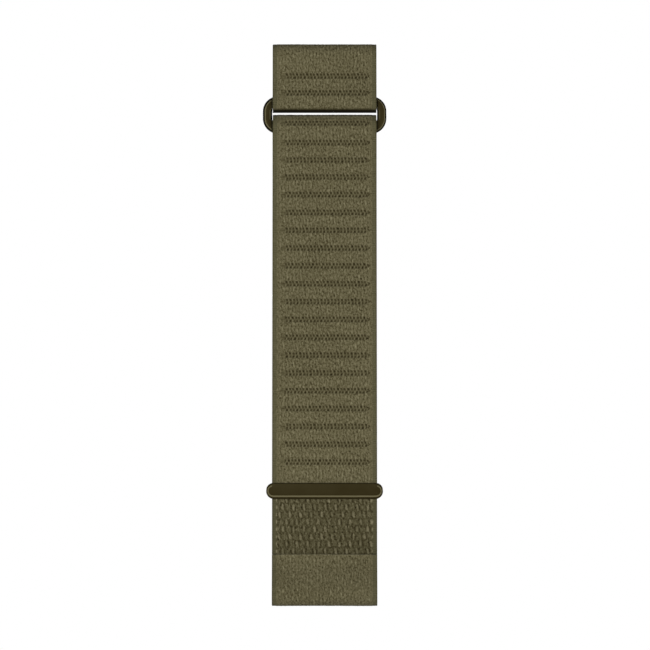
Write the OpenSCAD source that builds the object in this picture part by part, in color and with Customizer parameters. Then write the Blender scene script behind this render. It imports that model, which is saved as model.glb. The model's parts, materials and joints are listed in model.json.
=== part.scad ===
// Fabric watch strap with a hook-and-loop tail, hanging straight down from the watch's upper lug bar.
// X runs across the strap, Z up along it, and the outer face looks towards -Y.
// The origin is on the axis of the upper lug bar, in the middle of the strap's width.

/* [Webbing] */
// Width of the strap, made for the same lug width
strap_w = 22; // [18:0.5:26]
// Thickness of the soft ribbed knit on the outside of both straps
knit_t = 0.85; // [0.6:0.05:1.1]
// Thickness of the loop weave that the hooks grip
loop_t = 0.75; // [0.6:0.05:1]
// Thickness of the plain lining inside the short strap
lining_t = 0.45; // [0.3:0.05:0.7]
// Width of the smooth woven edge on each side
selvedge_w = 0.95; // [0.5:0.05:1.5]
// Height of the knit's pile above its smooth edges
pile_h = 0.15; // [0.05:0.05:0.25]

/* [Short strap] */
// Length from its lug end to its fold round the ring
short_len = 14.3; // [13:0.1:24]
// How far its outer face sinks between its two bars
short_dip_front = 0.35; // [0.1:0.05:0.5]
// How far its skin side sinks between its two bars
short_dip_back = 0.9; // [0.3:0.05:1]

/* [Long strap] */
// Slit that shows between the two folds in the ring
slit = 0.6; // [0.5:0.05:2]
// Length from its fold round the ring to its lug end
long_len = 103.8; // [101:0.2:125]
// Length of the tail, from the fold round the ring to the far edge of the tip plate
tail_len = 81.2; // [79:0.2:83]
// Length over which the tail comes down from the ring onto the inner run
tail_ramp = 13; // [8:0.5:18]
// Air between the closed tail and the inner run
tail_gap = 0.1; // [0.05:0.05:0.3]
// Length of the flap that is turned up over the outer face at the lower lug
flap_len = 10.7; // [8:0.1:12]
// Thickness of the flap at its end, where it is pressed down
flap_t = 1.3; // [1:0.1:1.6]

/* [Rib rows] */
// Distance between two rows of ribs
row_pitch = 3.77; // [3.4:0.01:3.8]
// Smooth margin beside each row, from the strap's edge
row_margin = 1.8; // [1.2:0.1:3]
// Height of a row
row_h = 1.2; // [0.6:0.1:1.4]
// Depth of a row below the pile
row_depth = 0.25; // [0.1:0.05:0.4]
// Rows on the tail
tail_rows = 20; // [16:1:20]
// Rows on the outer face of the short strap
short_rows = 2; // [1:1:2]
// First row's distance from the fold round the ring, on the long strap
first_row = 1.75; // [1.2:0.05:2]
// First row's distance from the fold round the ring, on the short strap
short_first_row = 4.05; // [3.5:0.05:5]

/* [Ring] */
// Gap between the strap's edge and the side of the ring
ring_side_gap = 0.25; // [0.1:0.05:0.6]
// Width of the ring's sides
ring_side_w = 1.8; // [1.4:0.1:3]
// Thickness of the ring's sides
ring_t = 2.1; // [2.1:0.1:2.4]
// Diameter of the two bars that the folds turn on
bar_d = 2; // [1.6:0.1:2]
// Clearance round each bar inside its fold
bar_clear = 0.08; // [0.04:0.01:0.1]
// Outer corner radius of the ring
ring_corner = 3.2; // [2:0.1:3.6]
// Bevel round the outer edges of the ring
ring_bevel = 0.35; // [0.2:0.05:0.5]

/* [Tip plate] */
// How far the plate stands out past each edge of the tail
tip_overhang = 1.35; // [1.2:0.05:2.5]
// Height of the plate
tip_h = 3.4; // [3:0.1:4.2]
// Thickness of the front plate over the knit
tip_front_t = 1; // [0.8:0.05:1.5]
// Bevel round the front plate's face
tip_bevel = 0.35; // [0.2:0.05:0.5]
// Diameter of the rivets that clamp the two plates
rivet_d = 0.8; // [0.6:0.1:1]
// Diameter of the rivets' heads
rivet_head_d = 1.4; // [1.2:0.1:1.8]
// Thickness of the rivets' heads
rivet_head_t = 0.25; // [0.15:0.05:0.35]
// Distance between two rivets
rivet_pitch = 8; // [5:0.5:8]
// How far a rivet reaches into the front plate
rivet_grip = 0.55; // [0.3:0.05:0.6]

/* [Lug ends] */
// Diameter of the tunnels that take the watch's spring bars
tunnel_d = 1.9; // [1.6:0.05:2.4]

/* [Hook patch] */
// Margin beside the hook patch, from the tail's edge
hook_margin = 1.5; // [1:0.1:4]
// Margin above the hook patch, from the tail's last flexing section
hook_top_gap = 0.3; // [0.1:0.1:2]
// Thickness of the hook patch's backing
hook_backing_t = 0.3; // [0.2:0.05:0.35]
// Rows of hooks
hook_rows = 16; // [10:1:20]

/* [Hidden] */
$fn = 64;
far = 60;            // longer than anything that it cuts
cut = 0.01;          // how far a cutter runs past a face
curve_steps = 16;    // straight steps in each curved stretch of webbing
edge_break = 0.1;    // bevel of the plates' inner edges
row_fn = 24;         // sides of the small round ends, rivets and heads
flex_rows = [7, 15]; // rows on which the first two flexing sections are centred
row_gap = 0.1;       // least distance from a row to the end of a flexing section
dip_rise = 1.25;     // how soon the short strap's dip reaches its full depth, 1 for its very middle
flap_fall = 0.7;     // share of the flap's length over which it comes down to its pressed end
hook_neck_at = 0.5;  // share of a hook's height at which its neck ends
hook_brim_at = 0.6;  // share of its height at which its brim is widest
hook_neck = 0.7;     // half-width of the neck, in stem half-widths
hook_brim = 1.8;     // half-width of the brim, in the same
hook_crown = 1.2;    // half-width of the flat top, in the same

// Colours of the finishes
knit_c = "#5d5840";
loop_c = "#514c35";
metal_c = "#362e19";
hook_c = "#3a3524";
rivet_c = "#6b6450";

// Thickness of each webbing and the radius of its folds
web_t = knit_t + loop_t;
short_t = knit_t + lining_t;
bar_r = bar_d / 2;
fold_in_r = bar_r + bar_clear;
fold_mid_r = fold_in_r + loop_t;
fold_r = fold_in_r + web_t;
short_fold_r = fold_in_r + short_t;
tunnel_r = tunnel_d / 2;
upper_lug_r = tunnel_r + short_t;
lower_lug_r = tunnel_r + web_t;

// Heights along the strap, downwards from the upper lug bar
z_short_fold = upper_lug_r - short_len;
z_upper_bar = z_short_fold + short_fold_r;
z_fold = z_short_fold - slit;
z_lower_bar = z_fold - fold_r;
z_ring = (z_upper_bar + z_lower_bar) / 2;
z_end = z_fold - long_len;
z_lower_lug = z_end + lower_lug_r;
z_flap_end = z_end + flap_len;
z_tip = z_fold - tail_len + tip_h / 2;
z_tail_end = z_tip - tip_h / 4;
function row_z(i) = z_fold - first_row - i * row_pitch;

// Each flexing section is centred on a row and ends between rows, the last one below the tip plate
flex_half = row_pitch - row_h / 2 - row_gap;
open_mid = (z_tip - tip_h / 2 + z_flap_end) / 2;
z_flex = [row_z(flex_rows[0]), row_z(flex_rows[1]), row_z(round((row_z(0) - open_mid) / row_pitch))];
skin_rows = floor((row_z(0) - z_lower_lug - row_h) / row_pitch) + 1;
z_hook_top = z_flex[1] - flex_half - hook_top_gap;
z_hook_bottom = z_tip + tip_h / 2;

// Depths through the strap: positive is the skin side, negative the outer side
y_skin = fold_r;
y_run_mid = fold_mid_r;
y_run_face = fold_in_r;
y_tail_back = y_run_face - tail_gap;
y_tail_mid = y_tail_back - loop_t;
y_tail_face = y_tail_mid - knit_t;
y_lower_lug = y_run_face - tunnel_r;
y_flap_face = y_run_face - flap_t;

ring_inner_x = strap_w / 2 + ring_side_gap;
ring_w = 2 * (ring_inner_x + ring_side_w);
ring_h = z_upper_bar - z_lower_bar + ring_t;
tip_w = strap_w + 2 * tip_overhang;
row_w = strap_w - 2 * row_margin;
hook_w = strap_w - 2 * hook_margin;
rivet_xs = [-rivet_pitch, 0, rivet_pitch];

function smooth(t) = t <= 0 ? 0 : t >= 1 ? 1 : t * t * (3 - 2 * t);
function between(a, b, t) = a + (b - a) * t;
function steps(from, to) = [for (i = [0 : curve_steps]) between(from, to, i / curve_steps)];
function backwards(list) = [for (i = [len(list) - 1 : -1 : 0]) list[i]];

// How far the tail still stands off the inner run at a height, from 1 at the ring to 0
function ramp_at(z) = 1 - smooth((z_lower_bar - z) / tail_ramp);
// Depth of a layer of the tail that leaves the ring bar at radius r and lies at depth y further down
function tail_y(z, r, y) = between(y, -r, ramp_at(z));
// Depth of the outer face of the tail, and of the fold above it
function tail_face_y(z) =
    z > z_lower_bar ? -sqrt(max(0, fold_r * fold_r - pow(z - z_lower_bar, 2)))
                    : tail_y(z, fold_r, y_tail_face);

// Radius of the short strap's outline at a height, and the share of its dip, all of it midway
function short_r(z, grow) = between(tunnel_r, fold_in_r, z / z_upper_bar) + grow;
function dip_at(z) = smooth(dip_rise * (1 - abs(2 * z / z_upper_bar - 1)));
function short_face_y(z, grow) = -short_r(z, grow) + short_dip_front * dip_at(z);
function short_back_y(z, grow) = short_r(z, grow) - short_dip_back * dip_at(z);

// Depth of the flap's outer side, or of a layer inside it, from the lug up to its pressed end
function flap_y(z, inside) =
    inside + between(y_lower_lug - lower_lug_r, y_flap_face, smooth((z - z_lower_lug) / (flap_fall * flap_len)));

// Draws a side view, depth first and height second, and runs it across the strap
module across(w = strap_w) {
    rotate([90, 0, 90]) linear_extrude(w, center = true) children();
}

// Runs two side views across the strap: the field with its pile, and the lower smooth edges
module piled() {
    across(strap_w - 2 * selvedge_w) children(0);
    across(strap_w) children(1);
}

// A stretch between two lists of side-view points
module band(face, back) {
    polygon(concat(face, backwards(back)));
}

// A flat stretch between two heights and two depths
module flat_band(z_top, z_bottom, y_front, y_back) {
    translate([y_front, z_bottom]) square([y_back - y_front, z_top - z_bottom]);
}

// The channel that a row of ribs leaves in a face that looks towards -Y or +Y
module row_cutter(z, y, side, slope = 0) {
    turn = side > 0 ? -90 : 90;
    translate([0, y, z]) rotate([-atan(slope), 0, 0]) translate([0, -side * row_depth, 0])
        rotate([turn, 0, 0]) {
            translate([-(row_w - row_h) / 2, -row_h / 2, 0]) cube([row_w - row_h, row_h, knit_t]);
            for (end = [-1, 1])
                translate([end * (row_w - row_h) / 2, 0, 0]) cylinder(h = knit_t, d = row_h, $fn = row_fn);
        }
}

// Rows on the tail and its fold, where they lie whole between two heights
module tail_row_cutters(z_top, z_bottom) {
    for (i = [0 : tail_rows - 1]) {
        z = row_z(i);
        slope = (tail_face_y(z + row_h / 4) - tail_face_y(z - row_h / 4)) / (row_h / 2);
        if (z + row_h / 2 < z_top && z - row_h / 2 > z_bottom) row_cutter(z, tail_face_y(z), -1, slope);
    }
}

// Rows on the skin side of the inner run, where they lie whole between two heights
module skin_row_cutters(z_top, z_bottom) {
    for (i = [1 : skin_rows - 1]) {
        z = row_z(i);
        if (z + row_h / 2 < z_top && z - row_h / 2 > z_bottom) row_cutter(z, y_skin, 1);
    }
}

// Short strap: knit all round a lining, with a tunnel for the lug bar and one for the ring

module short_outline(grow) {
    heights = steps(0, z_upper_bar);
    band([for (z = heights) [short_face_y(z, grow), z]], [for (z = heights) [short_back_y(z, grow), z]]);
    circle(r = tunnel_r + grow);
    translate([0, z_upper_bar]) circle(r = fold_in_r + grow);
}

module short_strap_knit() {
    color(knit_c) difference() {
        piled() {
            short_outline(short_t);
            short_outline(short_t - pile_h);
        }
        across(far) short_outline(lining_t);
        for (i = [0 : short_rows - 1]) {
            z = z_short_fold + short_first_row + i * row_pitch;
            slope = (short_face_y(z + row_h / 4, short_t) - short_face_y(z - row_h / 4, short_t)) / (row_h / 2);
            row_cutter(z, short_face_y(z, short_t), -1, slope);
        }
    }
}

module short_strap_lining() {
    color(loop_c) difference() {
        across() short_outline(lining_t);
        rotate([0, 90, 0]) cylinder(h = far, r = tunnel_r, center = true);
        translate([0, 0, z_upper_bar]) rotate([0, 90, 0]) cylinder(h = far, r = fold_in_r, center = true);
    }
}

// A flat plate with round corners, bevelled at its front and back edges
module bevelled_plate(w, h, r, y_front, y_back, front_bevel, back_bevel) {
    function edge(half) = [
        [half - front_bevel, y_front],
        [half, y_front + front_bevel],
        [half, y_back - back_bevel],
        [half - back_bevel, y_back]
    ];
    function both_edges(half) = concat(edge(half), [for (p = backwards(edge(half))) [-p[0], p[1]]]);
    corners = h > 2 * r + cut ? [-1, 1] : [0];
    if (len(corners) > 1)
        linear_extrude(h - 2 * r, center = true) polygon(both_edges(w / 2));
    rotate([0, 90, 0]) linear_extrude(w - 2 * r, center = true) polygon(both_edges(h / 2));
    for (x = [-1, 1], z = corners)
        translate([x * (w / 2 - r), 0, z * (h / 2 - r)]) rotate([-90, 0, 0])
            rotate_extrude() polygon(concat([[0, y_front]], edge(r), [[0, y_back]]));
}

// Ring: two bevelled sides and the two round bars that the folds turn on

module link_ring() {
    color(metal_c) {
        translate([0, 0, z_ring]) difference() {
            bevelled_plate(ring_w, ring_h, ring_corner, -ring_t / 2, ring_t / 2, ring_bevel, ring_bevel);
            cube([2 * ring_inner_x, far, far], center = true);
        }
        for (bar = [z_upper_bar, z_lower_bar])
            translate([0, 0, bar]) rotate([0, 90, 0])
                cylinder(h = 2 * ring_inner_x + ring_side_w / 2, r = bar_r, center = true);
    }
}

// Fold of the long strap round the ring's lower bar

module half_fold(r_in, r_out) {
    translate([0, z_lower_bar]) difference() {
        circle(r = r_out);
        circle(r = r_in);
        translate([-far / 2, -far]) square(far);
    }
}

module ring_fold_knit() {
    color(knit_c) difference() {
        piled() {
            half_fold(fold_mid_r, fold_r);
            half_fold(fold_mid_r, fold_r - pile_h);
        }
        tail_row_cutters(z_fold, z_lower_bar);
    }
}

module ring_fold_loop() {
    color(loop_c) across() half_fold(fold_in_r, fold_mid_r);
}

// Inner run: the stretch of the long strap that lies behind the tail

module run_knit(z_top, z_bottom) {
    color(knit_c) difference() {
        piled() {
            flat_band(z_top, z_bottom, y_run_mid, y_skin);
            flat_band(z_top, z_bottom, y_run_mid, y_skin - pile_h);
        }
        skin_row_cutters(z_top, z_bottom);
    }
}

module run_loop(z_top, z_bottom) {
    color(loop_c) across() flat_band(z_top, z_bottom, y_run_face, y_run_mid);
}

// Lower lug end: both layers turn round the tunnel and come back up as a flap

// Side view of a layer's outer side, with its step at the flap's end and its run up to z_top
module lug_outline(inside, y_step, z_top) {
    polygon(concat(
        [for (z = steps(z_flap_end, z_lower_lug)) [flap_y(z, inside), z]],
        [for (a = steps(180, 360))
            [y_lower_lug + (lower_lug_r - inside) * cos(a), z_lower_lug + (lower_lug_r - inside) * sin(a)]],
        [[y_skin - inside, z_top], [y_step, z_top], [y_step, z_flap_end]]
    ));
}

module lower_lug_knit() {
    z_top = z_flex[2] - flex_half;
    color(knit_c) difference() {
        piled() {
            lug_outline(0, y_run_mid, z_top);
            lug_outline(pile_h, y_run_mid, z_top);
        }
        across(far) lug_outline(knit_t, flap_y(z_flap_end, knit_t), z_flap_end + cut);
        skin_row_cutters(z_top, z_lower_lug);
    }
}

module lower_lug_loop() {
    color(loop_c) difference() {
        across() lug_outline(knit_t, y_run_face, z_flex[2] - flex_half);
        translate([0, y_lower_lug, z_lower_lug]) rotate([0, 90, 0])
            cylinder(h = far, r = tunnel_r, center = true);
    }
}

// Tail: the stretch that is turned back over the inner run

module tail_band(z_top, z_bottom, r_front, y_front, r_back, y_back) {
    heights = steps(z_top, z_bottom);
    band([for (z = heights) [tail_y(z, r_front, y_front), z]],
         [for (z = heights) [tail_y(z, r_back, y_back), z]]);
}

module tail_knit(z_top, z_bottom) {
    color(knit_c) difference() {
        piled() {
            tail_band(z_top, z_bottom, fold_r, y_tail_face, fold_mid_r, y_tail_mid);
            tail_band(z_top, z_bottom, fold_r - pile_h, y_tail_face + pile_h, fold_mid_r, y_tail_mid);
        }
        tail_row_cutters(z_top, z_bottom);
    }
}

module tail_loop(z_top, z_bottom) {
    color(loop_c) across() tail_band(z_top, z_bottom, fold_mid_r, y_tail_mid, fold_in_r, y_tail_back);
}

// The tail's end runs into the tip plate and is held there by the rivets
module tail_knit_3() {
    color(knit_c) difference() {
        tail_knit(z_flex[1] - flex_half, z_tail_end);
        rivets(rivet_d);
    }
}

// Hook patch on the back of the tail's end

module hook_patch_backing() {
    color(hook_c) across(hook_w)
        flat_band(z_hook_top, z_hook_bottom, y_tail_mid, y_tail_mid + hook_backing_t);
}

module hook_patch_hooks() {
    pitch = (z_hook_top - z_hook_bottom) / hook_rows;
    stem = pitch / 6;
    height = loop_t - hook_backing_t;
    function hook_side(half) = [
        [0, half],
        [height * hook_neck_at, half * hook_neck],
        [height * hook_brim_at, half * hook_brim],
        [height, half * hook_crown]
    ];
    color(hook_c) across(hook_w - pitch)
        for (i = [0 : hook_rows - 1])
            translate([y_tail_mid + hook_backing_t, z_hook_bottom + (i + 0.5) * pitch])
                polygon(concat(hook_side(-stem), backwards(hook_side(stem))));
}

// Tip plate: a front and a back plate that clamp the tail's end, with rivets set in from the back

module rivets(d, y_from = -far, y_to = far) {
    for (x = rivet_xs)
        translate([x, y_from, z_tip]) rotate([-90, 0, 0]) cylinder(h = y_to - y_from, d = d, $fn = row_fn);
}

module tip_plate_front() {
    color(metal_c) difference() {
        translate([0, 0, z_tip])
            bevelled_plate(tip_w, tip_h, tip_h / 2, y_tail_face - tip_front_t, y_tail_mid, tip_bevel, edge_break);
        translate([-strap_w / 2, y_tail_face, z_tail_end]) cube([strap_w, far, far]);
        rivets(rivet_d, y_tail_face - rivet_grip);
    }
}

module tip_plate_back() {
    color(metal_c) difference() {
        translate([0, 0, z_tip])
            bevelled_plate(tip_w, tip_h, tip_h / 2, y_tail_mid, y_tail_back, edge_break, edge_break);
        rivets(rivet_d);
        rivets(rivet_head_d, y_tail_back - rivet_head_t);
    }
}

module tip_rivets() {
    color(rivet_c) {
        rivets(rivet_d, y_tail_face - rivet_grip, y_tail_back - rivet_head_t / 2);
        rivets(rivet_head_d, y_tail_back - rivet_head_t, y_tail_back);
    }
}

short_strap_knit();
short_strap_lining();
link_ring();
ring_fold_knit();
ring_fold_loop();
run_knit(z_lower_bar, z_flex[0] + flex_half);  // run_knit_1
run_loop(z_lower_bar, z_flex[0] + flex_half);  // run_loop_1
run_knit(z_flex[0] + flex_half, z_flex[0] - flex_half);  // run_flex_knit_1
run_loop(z_flex[0] + flex_half, z_flex[0] - flex_half);  // run_flex_loop_1
run_knit(z_flex[0] - flex_half, z_flex[1] + flex_half);  // run_knit_2
run_loop(z_flex[0] - flex_half, z_flex[1] + flex_half);  // run_loop_2
run_knit(z_flex[1] + flex_half, z_flex[1] - flex_half);  // run_flex_knit_2
run_loop(z_flex[1] + flex_half, z_flex[1] - flex_half);  // run_flex_loop_2
run_knit(z_flex[1] - flex_half, z_flex[2] + flex_half);  // run_knit_3
run_loop(z_flex[1] - flex_half, z_flex[2] + flex_half);  // run_loop_3
run_knit(z_flex[2] + flex_half, z_flex[2] - flex_half);  // run_flex_knit_3
run_loop(z_flex[2] + flex_half, z_flex[2] - flex_half);  // run_flex_loop_3
lower_lug_knit();
lower_lug_loop();
tail_knit(z_lower_bar, z_flex[0] + flex_half);  // tail_knit_1
tail_loop(z_lower_bar, z_flex[0] + flex_half);  // tail_loop_1
tail_knit(z_flex[0] + flex_half, z_flex[0] - flex_half);  // tail_flex_knit_1
tail_loop(z_flex[0] + flex_half, z_flex[0] - flex_half);  // tail_flex_loop_1
tail_knit(z_flex[0] - flex_half, z_flex[1] + flex_half);  // tail_knit_2
tail_loop(z_flex[0] - flex_half, z_flex[1] + flex_half);  // tail_loop_2
tail_knit(z_flex[1] + flex_half, z_flex[1] - flex_half);  // tail_flex_knit_2
tail_loop(z_flex[1] + flex_half, z_flex[1] - flex_half);  // tail_flex_loop_2
tail_knit_3();
hook_patch_backing();
hook_patch_hooks();
tip_plate_front();
tip_plate_back();
tip_rivets();
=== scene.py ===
"""Fabric watch strap: cloth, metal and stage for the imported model.

Lengths inside the functions are in millimetres, and meshes are written in metres.
X runs across the strap, Z up along it, and the outer face looks towards -Y.
"""
import json
import math

import bmesh
import bpy
import numpy as np
from bpy.props import FloatProperty, FloatVectorProperty, IntProperty, PointerProperty
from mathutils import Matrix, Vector
from mathutils.geometry import tessellate_polygon


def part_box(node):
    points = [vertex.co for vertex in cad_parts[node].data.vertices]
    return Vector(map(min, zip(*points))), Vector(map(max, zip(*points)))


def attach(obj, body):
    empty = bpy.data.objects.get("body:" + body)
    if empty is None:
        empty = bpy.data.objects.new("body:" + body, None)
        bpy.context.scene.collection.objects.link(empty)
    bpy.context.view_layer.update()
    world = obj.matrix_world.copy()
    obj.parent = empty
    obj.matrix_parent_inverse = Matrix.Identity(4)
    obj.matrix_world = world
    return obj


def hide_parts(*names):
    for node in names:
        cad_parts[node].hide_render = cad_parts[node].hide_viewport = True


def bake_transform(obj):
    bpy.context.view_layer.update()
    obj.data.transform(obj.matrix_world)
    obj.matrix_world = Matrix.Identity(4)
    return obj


bl_info = {
    "name": "Fabric watch strap",
    "version": (1, 0, 0),
    "blender": (4, 5, 0),
    "location": "3D View > Sidebar > Strap",
    "description": "Dresses a hook-and-loop watch strap in knit, loop weave and dark metal",
    "category": "Object",
}

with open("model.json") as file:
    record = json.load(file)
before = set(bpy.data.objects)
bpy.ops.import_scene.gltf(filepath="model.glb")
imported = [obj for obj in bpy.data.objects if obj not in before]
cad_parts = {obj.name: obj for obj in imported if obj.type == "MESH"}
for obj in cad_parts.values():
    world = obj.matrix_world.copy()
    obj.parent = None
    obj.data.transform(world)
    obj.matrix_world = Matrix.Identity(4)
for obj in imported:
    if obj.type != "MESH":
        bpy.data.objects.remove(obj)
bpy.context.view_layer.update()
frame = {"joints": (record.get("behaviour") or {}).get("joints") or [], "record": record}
MM = 0.001


def low(node, axis):
    """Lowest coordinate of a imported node, in millimetres."""
    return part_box(node)[0]["xyz".index(axis)] / MM


def high(node, axis):
    """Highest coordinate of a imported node, in millimetres."""
    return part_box(node)[1]["xyz".index(axis)] / MM


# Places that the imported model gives
HALF_W = high("run_loop_1", "x")
Y_SKIN = high("run_knit_1", "y")
Y_RUN = low("run_loop_1", "y")
KNIT_T = Y_SKIN - low("run_knit_1", "y")
WEB_T = Y_SKIN - Y_RUN
Y_TAIL = low("tail_knit_3", "y")
Z_BAR = high("run_knit_1", "z")
Z_FOLD = high("ring_fold_knit", "z")
R_FOLD = Z_FOLD - Z_BAR
Z_TAIL_END = low("tail_knit_3", "z")
Z_FLEX = [(high(f"run_flex_knit_{i}", "z"), low(f"run_flex_knit_{i}", "z")) for i in (1, 2, 3)]
Z_STIFF = [(Z_BAR, Z_FLEX[0][0]), (Z_FLEX[0][1], Z_FLEX[1][0]), (Z_FLEX[1][1], Z_FLEX[2][0])]
Y_HINGE = next(joint["pos_m"][1] for joint in frame["joints"] if joint["name"] == "strap_wrap_1") / MM
R_LUG = (high("lower_lug_knit", "y") - low("lower_lug_knit", "y")) / 2
Y_LUG = high("lower_lug_knit", "y") - R_LUG
Z_LUG = low("lower_lug_knit", "z") + R_LUG
R_TUNNEL = frame["record"]["mounts"][0]["dims"]["r_mm"]
R_SHORT_FOLD = high("short_strap_knit", "y")
Z_UPPER_BAR = low("short_strap_knit", "z") + R_SHORT_FOLD
SHORT_T = high("short_strap_knit", "z") - R_TUNNEL
LINING_T = SHORT_T - KNIT_T
R_BORE = R_SHORT_FOLD - SHORT_T
Z_TIP = (high("tip_plate_front", "z") + low("tip_plate_front", "z")) / 2
Z_RING = (high("link_ring", "z") + low("link_ring", "z")) / 2

# Side view of the webbing: angles between the fold's parts, how unevenly they turn, length of the tail's ramp
# below the fold, and the lower flap's length, thickness, end radius and share of it that slopes
FOLD_PARTS = [math.radians(angle) for angle in (0, 35, 70, 105, 140, 180)]
FOLD_EASE = 0.2
TAIL_RAMP = 13.0
FLAP_LEN = 10.85
FLAP_T = 1.3
FLAP_ROUND = 0.14
FLAP_FALL = 0.7

# Side view of the short strap: how far its fold hangs, how far its two faces dip between the two tunnels, and
# how steeply
SHORT_SAG = 0.2
DIP_FRONT = 0.35
DIP_BACK = 0.9
DIP_RISE = 1.25

# Rib rows: the first one's place below the fold's top, the short strap's rows above its lowest point, how
# much lower the tail's first rows lie than even ones would, and half of a row's finely meshed zone
ROW_PITCH = 3.77
FIRST_ROW = 1.75
TAIL_ROWS = 20
SKIN_ROWS = 27
SHORT_ROW_AT = (4.02, 7.56)
ROW_SHIFT = (0, 0.42, 0.32, 0.1)
ROW_ZONE = 0.78

# Place of one float of the loop weave, which the others are counted from
FIRST_FLOAT_Z = -94.06
FIRST_FLOAT_X = -1.33

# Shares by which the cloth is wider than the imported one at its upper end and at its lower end, and narrower
# beside the slit between the two straps, to a little over 1 mm above and below it
FLARE = (-0.0036, 0.0135)
SLIT_Z = -12.66
SLIT_PINCH = 0.0045
SLIT_REACH = 1.15


class StrapSizes(bpy.types.PropertyGroup):
    """Sizes of the cloth's relief"""

    pile: FloatProperty(name="Pile", description="Height of the knit's pile over its smooth edges",
                        default=0.05 * MM, unit="LENGTH", precision=5)
    tuft: FloatProperty(name="Tufts", description="How far the pile's tufts stand up and sink in",
                        default=0.014 * MM, unit="LENGTH", precision=5)
    edge_width: FloatProperty(name="Edge width", description="Width of the smooth woven edge",
                              default=0.95 * MM, unit="LENGTH", precision=5)
    edge_round: FloatProperty(name="Edge radius", description="Radius of the cloth's outer edges",
                              default=0.13 * MM, unit="LENGTH", precision=5)
    eyelet_pitch: FloatProperty(name="Eyelet pitch", description="Distance between two eyelets of a rib row",
                                default=0.72 * MM, unit="LENGTH", precision=5)
    eyelet_depth: FloatProperty(name="Eyelet depth", description="Depth of an eyelet below its row",
                                default=0.24 * MM, unit="LENGTH", precision=5)
    warp_pitch: FloatProperty(name="Warp pitch", description="Distance between two warps of the loop weave",
                              default=0.741 * MM, unit="LENGTH", precision=5)
    float_pitch: FloatProperty(name="Float pitch", description="Distance between two rows of floats",
                               default=1.557 * MM, unit="LENGTH", precision=5)
    float_height: FloatProperty(name="Float height", description="Height of a float over the loop weave",
                                default=0.18 * MM, unit="LENGTH", precision=5)
    step: FloatProperty(name="Mesh step", description="Distance between two columns of a cloth mesh",
                        default=0.1 * MM, unit="LENGTH", precision=5)


def colour_property(name, description, red, green, blue):
    """A colour that is written as it looks on a screen, from 0 to 255."""
    linear = [((c / 255 + 0.055) / 1.055) ** 2.4 for c in (red, green, blue)]
    return FloatVectorProperty(name=name, description=description, subtype="COLOR", size=3,
                               min=0, max=1, default=linear)


class StrapColours(bpy.types.PropertyGroup):
    """Colours of the cloth and the metal"""

    # The deep colours stand partly for painted shade in the cloth's crevices, and the light colours partly
    # for painted highlights on its raised threads
    knit_dark: colour_property("Knit, deep", "Crevices of the ribbed knit", 48, 42, 22)
    knit_mid: colour_property("Knit", "Ribbed knit", 97, 91, 66)
    knit_light: colour_property("Knit, tips", "Tips of the knit's pile", 132, 126, 98)
    loop_dark: colour_property("Loops, deep", "Ground of the loop weave", 48, 42, 22)
    loop_mid: colour_property("Loops", "Loop weave", 84, 79, 56)
    loop_light: colour_property("Loops, tips", "Tops of the loop weave's floats", 130, 123, 97)
    edge: colour_property("Edges", "Smooth woven edges", 78, 76, 54)
    metal: colour_property("Metal", "Ring and tip plate", 44, 38, 18)
    # Colour of the painted highlights on the ring's and the tip plate's bevels
    bevel: colour_property("Bevel", "Bevels of the ring and the tip plate", 110, 104, 77)
    rivet: colour_property("Rivets", "Rivet heads", 107, 100, 80)
    hook: colour_property("Hooks", "Hook tape", 58, 53, 36)


class StrapLight(bpy.types.PropertyGroup):
    """Light and floor"""

    key: FloatProperty(name="Key lights", description="Power of the two lights in front, and of those behind",
                       default=10.6, unit="POWER")
    side: FloatProperty(name="Side lights", description="Power of each side light", default=1.8, unit="POWER")
    top: FloatProperty(name="Top light", description="Power of the light above", default=0.8, unit="POWER")
    ambient: FloatProperty(name="Ambient", description="Strength of the even light from all round",
                           default=0.07, min=0)
    floor_drop: FloatProperty(name="Floor drop", description="Distance from the strap down to the floor",
                              default=30 * MM, unit="LENGTH")
    frame_height: FloatProperty(name="Frame height", description="Height of the picture at the strap",
                                default=137.45 * MM, unit="LENGTH", precision=5)
    distance: FloatProperty(name="Camera distance", description="Distance of the camera",
                            default=1.3, unit="LENGTH")
    seed: IntProperty(name="Seed", description="Seed of the cloth's unevenness", default=7)


# Side view


def smooth(t):
    """Rises from 0 to 1 with level ends."""
    t = np.clip(t, 0, 1)
    return t * t * (3 - 2 * t)


def unsmooth(share):
    """The place at which smooth() reaches a share."""
    return 0.5 - math.sin(math.asin(1 - 2 * share) / 3)


def slope(place, start, end):
    """0 before start and 1 past end, which may be the lower of the two."""
    return smooth((place - start) / (end - start))


def between(a, b, t):
    """The value at a share t of the way from a to b."""
    return a + (b - a) * t


class Line:
    """A line in the side view that one side of the cloth follows, with its outward direction."""

    def __init__(self, y, z, turn=1):
        self.y, self.z = np.asarray(y, float), np.asarray(z, float)
        dy, dz = np.gradient(self.y), np.gradient(self.z)
        length = np.hypot(dy, dz)
        self.ny, self.nz = -turn * dz / length, turn * dy / length
        self.s = np.concatenate([[0], np.cumsum(np.hypot(np.diff(self.y), np.diff(self.z)))])
        self.knots = np.arange(len(self.y))

    def at(self, s):
        """Points and outward directions at distances along the line."""
        return [np.interp(s, self.s, v) for v in (self.y, self.z, self.ny, self.nz)]

    def distance(self, knot):
        """Distance along the line at a knot, which is a point's number and may lie between two of them."""
        return np.interp(knot, self.knots, self.s)


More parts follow.
